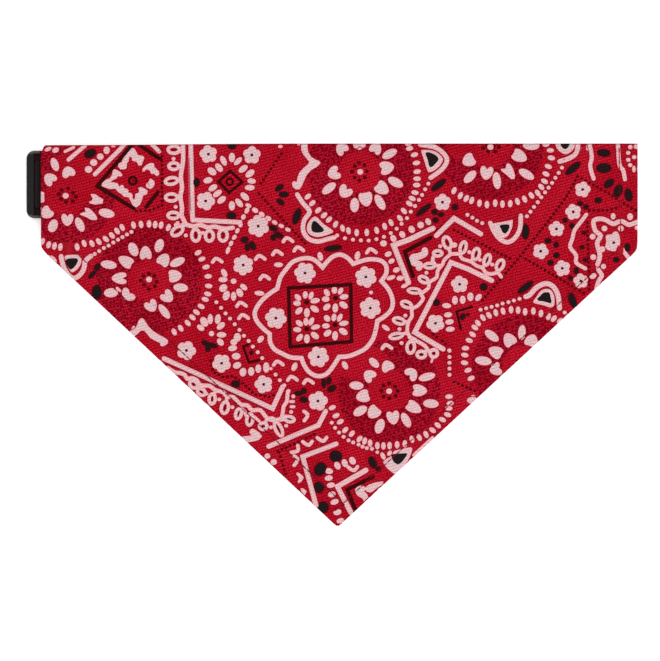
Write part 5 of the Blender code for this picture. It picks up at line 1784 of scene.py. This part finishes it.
# ---------------------------------------------------------------- materials

# Settings that many of the nodes share.  A mix of colours has its factor at input 0, its colours at 6 and 7,
# and its result at output 2.
COLOURS = {"data_type": "RGBA"}
TIMES = {"operation": "MULTIPLY"}
TIMES_PLUS = {"operation": "MULTIPLY_ADD"}

# A wave texture's bands lie this far apart at scale 1
BAND_SPACING = math.tau / 20.0


def to_linear(code):
    """An sRGB hex colour as linear red, green, blue, alpha."""
    parts = [int(code[i:i + 2], 16) / 255 for i in (1, 3, 5)]
    return (*(p / 12.92 if p <= 0.04045 else ((p + 0.055) / 1.055) ** 2.4 for p in parts), 1.0)


def add(tree, kind, settings, inputs):
    """Add a node, set its properties, give its inputs a value or a link, and give back its outputs."""
    node = tree.nodes.new("ShaderNode" + kind)
    for key, value in settings.items():
        setattr(node, key, value)
    for key, value in inputs.items():
        if isinstance(value, bpy.types.NodeSocket):
            tree.links.new(value, node.inputs[key])
        else:
            node.inputs[key].default_value = value
    return node.outputs


def new_material(name, finish):
    """A material whose shader has the plain values of this finish."""
    material = bpy.data.materials.new(name)
    material.use_nodes = True
    tree = material.node_tree
    shader = tree.nodes["Principled BSDF"]
    for key, value in {"Metallic": 0.0, **finish}.items():
        shader.inputs[key].default_value = value
    return material, tree, shader


# Deep and light dye, and the same in the patches that lie more towards the light
FACE_DYES = (("#8A000B", "#B61C33"), ("#92000D", "#C6263F"))
REVERSE_DYES = (("#A03A48", "#BC5C68"), ("#A84450", "#C46A74"))

SHOW_THROUGH = 0.45      # how strongly the inks show on the reverse

# The inks from the lowest to the topmost: colour layer, channel, deep, light
INKS = (
    ("bleed", 0, "#5C0410", "#7E1024"),
    ("print", 2, "#44040A", "#640A14"),
    ("ground", 2, "#2B0809", "#440E11"),
    ("print", 1, "#181213", "#281D1E"),
    ("ground", 1, "#DE8A90", "#F8A8AE"),
    ("print", 0, "#BE989C", "#E2CACB"),
)


def printed_cotton(name, reverse):
    """Plain-woven cotton lawn, printed: matt, its threads read as fine slanted ribs, also in the inks.

    The reverse is the same cloth, where the dye is paler and the inks only show through.
    """
    material, tree, shader = new_material(name, {"Roughness": 0.88, "Specular IOR Level": 0.0})
    uv = add(tree, "UVMap", {"uv_map": "flat_cut"}, {})[0]
    # one unit of this vector is a millimetre of the flat cut
    cut = add(tree, "VectorMath", {"operation": "SCALE"}, {0: uv, "Scale": CUT_SPAN})[0]
    layers = {}
    for layer in ("print", "ground", "bleed"):
        stored = add(tree, "VertexColor", {"layer_name": layer}, {})[0]
        layers[layer] = add(tree, "SeparateColor", {}, {0: stored})

    # Threads: weft ribs 1.2 mm apart that climb 15 degrees to the right, crossed by warp floats.  A real
    # lawn's are finer; these are drawn as they read at arm's length.
    lean = add(tree, "Mapping", {}, {0: cut, "Rotation": (0.0, 0.0, math.radians(-15.0))})[0]
    ribs, floats = (
        add(
            tree, "TexWave", {"wave_type": "BANDS", "bands_direction": way, "wave_profile": "SIN"},
            {0: lean, "Scale": BAND_SPACING / apart, "Distortion": waver, "Detail": 2.0,
             "Detail Scale": detail},
        )["Fac"]
        for way, apart, waver, detail in (("Y", 1.2, 1.0, 1.0), ("X", 1.05, 3.0, 1.5))
    )
    slub = add(tree, "TexNoise", {}, {0: cut, "Scale": 1.8, "Detail": 3.0, "Roughness": 0.7})["Fac"]
    broad = add(tree, "TexNoise", {}, {0: cut, "Scale": 0.045, "Detail": 2.0, "Roughness": 0.55})["Fac"]
    floated = add(tree, "Math", TIMES_PLUS, {0: floats, 1: 0.7, 2: 0.3})[0]
    threads = add(tree, "Math", TIMES, {0: ribs, 1: floated})[0]
    speckle = add(
        tree, "MapRange", {},
        {"Value": slub, "From Min": 0.36, "From Max": 0.66, "To Min": -0.5, "To Max": 0.75},
    )[0]
    speckle = add(tree, "Math", {"operation": "ADD"}, {0: speckle, 1: -0.02})[0]
    level = add(tree, "Math", TIMES_PLUS, {0: threads, 1: 0.8, 2: speckle})[0]

    # Broad soft patches, where the cloth lies a little more or less towards the light
    patch = add(tree, "MapRange", {}, {"Value": broad, "From Min": 0.36, "From Max": 0.64})[0]
    dyed = add(tree, "Math", TIMES_PLUS, {0: level, 1: 1.2, 2: -0.16})[0]
    low, high = (
        add(tree, "Mix", COLOURS, {0: dyed, 6: to_linear(deep), 7: to_linear(light)})[2]
        for deep, light in (REVERSE_DYES if reverse else FACE_DYES)
    )
    red = add(tree, "Mix", COLOURS, {0: patch, 6: low, 7: high})[2]

    # Stippled grounds: dots 0.9 mm across, some 1.7 mm apart, on a slightly deeper red
    cells = add(
        tree, "TexVoronoi", {"voronoi_dimensions": "2D", "feature": "F1"},
        {"Vector": cut, "Scale": 0.62, "Randomness": 0.85},
    )["Distance"]
    dot = add(
        tree, "MapRange", {},
        {"Value": cells, "From Min": 0.26, "From Max": 0.38, "To Min": 1.0, "To Max": 0.0},
    )[0]
    dotted = add(tree, "Math", TIMES, {0: dot, 1: 0.72})[0]
    deeper = add(
        tree, "Mix", {"data_type": "RGBA", "blend_type": "MULTIPLY"},
        {0: 1.0, 6: red, 7: (0.84, 0.9, 1.0, 1.0)},
    )[2]
    stippled = add(tree, "Mix", COLOURS, {0: dotted, 6: deeper, 7: to_linear("#50000A")})[2]
    colour = add(tree, "Mix", COLOURS, {0: layers["ground"][0], 6: red, 7: stippled})[2]

    strength = SHOW_THROUGH if reverse else 1.0
    for layer, channel, deep, light in INKS:
        tone = add(tree, "Mix", COLOURS, {0: level, 6: to_linear(deep), 7: to_linear(light)})[2]
        cover = add(tree, "Math", TIMES, {0: layers[layer][channel], 1: strength})[0]
        colour = add(tree, "Mix", COLOURS, {0: cover, 6: colour, 7: tone})[2]

    # Painted shade: a thin darker line is painted along the top fold, where the cloth turns away from the
    # light
    across = add(tree, "SeparateXYZ", {}, {0: cut})[1]
    fold_shade_at = CUT_SPAN / 2 + FOLD_MID_Y + FOLD_ARC * 0.42
    off_line = add(tree, "Math", {"operation": "SUBTRACT"}, {0: across, 1: fold_shade_at})[0]
    off_line = add(tree, "Math", {"operation": "ABSOLUTE"}, {0: off_line})[0]
    fold_shade = add(
        tree, "MapRange", {},
        {"Value": off_line, "From Min": 0.3, "From Max": 0.75, "To Min": 0.55, "To Max": 0.0},
    )[0]
    colour = add(tree, "Mix", COLOURS, {0: fold_shade, 6: colour, 7: to_linear("#3C0A12")})[2]
    tree.links.new(colour, shader.inputs["Base Color"])
    bump = add(tree, "Bump", {}, {"Strength": 0.3, "Distance": 0.00012, "Height": level})[0]
    tree.links.new(bump, shader.inputs["Normal"])
    return material


def sewing_thread(name, deep, light, roughness):
    """Twisted polyester thread: fine slanted plies and a soft lustre."""
    material, tree, shader = new_material(name, {"Roughness": roughness, "Specular IOR Level": 0.06})
    place = add(tree, "TexCoord", {}, {})["Object"]
    # plies 0.35 mm apart
    plies = add(
        tree, "TexWave", {"wave_type": "BANDS", "bands_direction": "DIAGONAL"},
        {0: place, "Scale": 900.0, "Distortion": 0.4},
    )["Fac"]
    colour = add(tree, "Mix", COLOURS, {0: plies, 6: to_linear(deep), 7: to_linear(light)})[2]
    tree.links.new(colour, shader.inputs["Base Color"])
    bump = add(tree, "Bump", {}, {"Strength": 0.4, "Distance": 0.00005, "Height": plies})[0]
    tree.links.new(bump, shader.inputs["Normal"])
    return material


def woven_nylon():
    """Black nylon webbing, plain woven: ribs 1.3 mm apart across it, ends 1.1 mm apart, a soft sheen."""
    finish = {"Roughness": 0.62, "Sheen Weight": 0.03, "Sheen Roughness": 0.4, "Specular IOR Level": 0.08}
    material, tree, shader = new_material("woven_nylon_webbing", finish)
    uv = add(tree, "UVMap", {"uv_map": "along_webbing"}, {})[0]
    along = add(tree, "VectorMath", {"operation": "SCALE"}, {0: uv, "Scale": WEBBING_SPAN})[0]
    weft, warp = (
        add(
            tree, "TexWave", {"wave_type": "BANDS", "bands_direction": way},
            {0: along, "Scale": BAND_SPACING / apart, "Distortion": waver},
        )["Fac"]
        for way, apart, waver in (("X", 1.3, 0.5), ("Y", 1.1, 0.3))
    )
    fuzz = add(tree, "TexNoise", {}, {0: along, "Scale": 3.0, "Detail": 3.0})["Fac"]
    ends = add(tree, "Math", TIMES_PLUS, {0: warp, 1: 0.6, 2: 0.4})[0]
    weave = add(tree, "Math", TIMES, {0: weft, 1: ends})[0]
    lift = add(tree, "Math", TIMES_PLUS, {0: fuzz, 1: 0.25, 2: weave})[0]
    # Painted reflection: the near-black nylon is given a warm red tint, painted red light bounced from the
    # cloth
    colour = add(tree, "Mix", COLOURS, {0: lift, 6: to_linear("#0E0506"), 7: to_linear("#1C0F10")})[2]
    tree.links.new(colour, shader.inputs["Base Color"])
    bump = add(tree, "Bump", {}, {"Strength": 0.9, "Distance": 0.00035, "Height": lift})[0]
    tree.links.new(bump, shader.inputs["Normal"])
    return material


def moulded_acetal(name, deep, light, gloss):
    """Injection-moulded acetal, spark-eroded: near black, a soft grey gloss, faint flow along the strap."""
    material, tree, shader = new_material(name, {"Roughness": 0.42, "IOR": 1.48, "Specular IOR Level": gloss})
    place = add(tree, "TexCoord", {}, {})["Object"]
    # spark grain 0.25 mm, drawn about twice as coarse so that it shows
    grain = add(tree, "TexNoise", {}, {0: place, "Scale": 2200.0, "Detail": 3.0, "Roughness": 0.6})["Fac"]
    stretched = add(tree, "Mapping", {}, {0: place, "Scale": (0.25, 1.0, 1.0)})[0]
    flow = add(tree, "TexNoise", {}, {0: stretched, "Scale": 160.0, "Detail": 2.0})["Fac"]
    half_flow = add(tree, "Math", TIMES, {0: flow, 1: 0.5})[0]
    tone = add(tree, "Math", TIMES_PLUS, {0: grain, 1: 0.5, 2: half_flow})[0]
    colour = add(tree, "Mix", COLOURS, {0: tone, 6: to_linear(deep), 7: to_linear(light)})[2]
    tree.links.new(colour, shader.inputs["Base Color"])
    rough = add(
        tree, "MapRange", {},
        {"Value": grain, "From Min": 0.3, "From Max": 0.7, "To Min": 0.36, "To Max": 0.5},
    )[0]
    tree.links.new(rough, shader.inputs["Roughness"])
    bump = add(tree, "Bump", {}, {"Strength": 0.25, "Distance": 0.00004, "Height": grain})[0]
    tree.links.new(bump, shader.inputs["Normal"])
    return material


def opal_sheet():
    """Opal acrylic of a light table: white and matt, lit from beneath, so that shadows on it stay faint."""
    finish = {"Roughness": 0.95, "Specular IOR Level": 0.1, "Emission Strength": 0.3,
              "Emission Color": (1.0, 1.0, 1.0, 1.0)}
    material, tree, shader = new_material("opal_acrylic_lit_from_beneath", finish)
    place = add(tree, "TexCoord", {}, {})["Object"]
    tooth = add(tree, "TexNoise", {}, {0: place, "Scale": 900.0, "Detail": 2.0})["Fac"]
    colour = add(tree, "Mix", COLOURS, {0: tooth, 6: to_linear("#F8F8F8"), 7: to_linear("#FFFFFF")})[2]
    tree.links.new(colour, shader.inputs["Base Color"])
    return material


# ---------------------------------------------------------------- stage, light, camera

def make_stage():
    """A light table 6 metres across, just under the collar."""
    bm = bmesh.new()
    bmesh.ops.create_grid(bm, x_segments=8, y_segments=8, size=3000.0)
    bmesh.ops.translate(bm, vec=(0.0, 0.0, -0.05), verts=bm.verts)
    bmesh.ops.scale(bm, vec=(MM, MM, MM), verts=bm.verts)
    to_object("light_table", bm, opal_sheet())


def make_light(name, place, size, power):
    """A soft lamp that faces the middle of the collar."""
    lamp = bpy.data.lights.new(name, "AREA")
    lamp.shape = "RECTANGLE"
    lamp.size = size[0]
    lamp.size_y = size[1]
    lamp.energy = power
    thing = bpy.data.objects.new(name, lamp)
    thing.location = place
    thing.rotation_euler = (-Vector(place)).to_track_quat("-Z", "Y").to_euler()
    bpy.context.scene.collection.objects.link(thing)


def make_lights():
    make_light("overhead_softbox", (0.05, 0.15, 1.6), (2.4, 2.4), 24.0)
    make_light("front_fill", (0.5, -1.1, 0.9), (1.2, 0.8), 3.0)
    world = bpy.data.worlds.new("studio")
    world.use_nodes = True
    sky = world.node_tree.nodes["Background"]
    sky.inputs["Color"].default_value = (1.0, 1.0, 1.0, 1.0)
    sky.inputs["Strength"].default_value = 0.62
    bpy.context.scene.world = world
    view = bpy.context.scene.view_settings
    view.view_transform = "Standard"
    view.look = "None"
    view.exposure = 0.0


# In metres: how high the camera is, and how wide its view is at the cloth's height
CAMERA_HEIGHT = 8.0
CLOTH_HEIGHT = 0.003
VIEW_WIDTH = 0.2808


def make_camera():
    """A long lens from straight above."""
    lens = bpy.data.cameras.new("camera")
    lens.sensor_fit = "HORIZONTAL"
    lens.sensor_width = 36.0
    lens.lens = lens.sensor_width * (CAMERA_HEIGHT - CLOTH_HEIGHT) / VIEW_WIDTH
    lens.clip_start = 0.1
    lens.clip_end = 20.0
    thing = bpy.data.objects.new("camera", lens)
    thing.location = (-0.86 * MM, 1.93 * MM, CAMERA_HEIGHT)
    bpy.context.scene.collection.objects.link(thing)
    bpy.context.scene.camera = thing


# ---------------------------------------------------------------- the whole collar

def dress_collar():
    make_camera()
    make_stage()
    make_lights()
    printed = printed_cotton("printed_cotton_lawn", reverse=False)
    reverse = printed_cotton("cotton_lawn_reverse", reverse=True)
    # dark red thread, painted darker still: painted shade of the crease that the stitches press into the
    # cloth
    hem_thread_shaded = sewing_thread("polyester_hem_thread_painted_crease_shade", "#6C0814", "#820C1E", 0.8)
    tack_thread = sewing_thread("polyester_tack_thread", "#900818", "#B4182C", 0.8)
    black_thread = sewing_thread("polyester_black_thread", "#171516", "#3A383B", 0.5)
    cloth, flat, area = make_cloth(printed, reverse)
    stitching = make_hem_stitches(hem_thread_shaded, tack_thread)
    tacks = make_bar_tacks(tack_thread)
    make_webbing(woven_nylon())
    make_box_stitch(black_thread)
    acetal = moulded_acetal("moulded_acetal_satin", "#0E0A0A", "#181212", 0.15)
    # painted reflection: the pocket's colour is painted with the red light that the cloth beside it throws
    # in, and its gloss is low
    pocket = moulded_acetal("moulded_acetal_pocket_painted_bounce", "#2E1D1F", "#3A2527", 0.02)
    # painted highlight: the rounded rim is painted paler where its slopes catch the light
    rim_painted_highlight = moulded_acetal("moulded_acetal_rim_painted_highlight", "#3E3536", "#524849", 0.16)
    make_adjuster_half(acetal, pocket, rim_painted_highlight)
    make_socket_half(acetal)
    bpy.context.view_layer.update()


dress_collar()
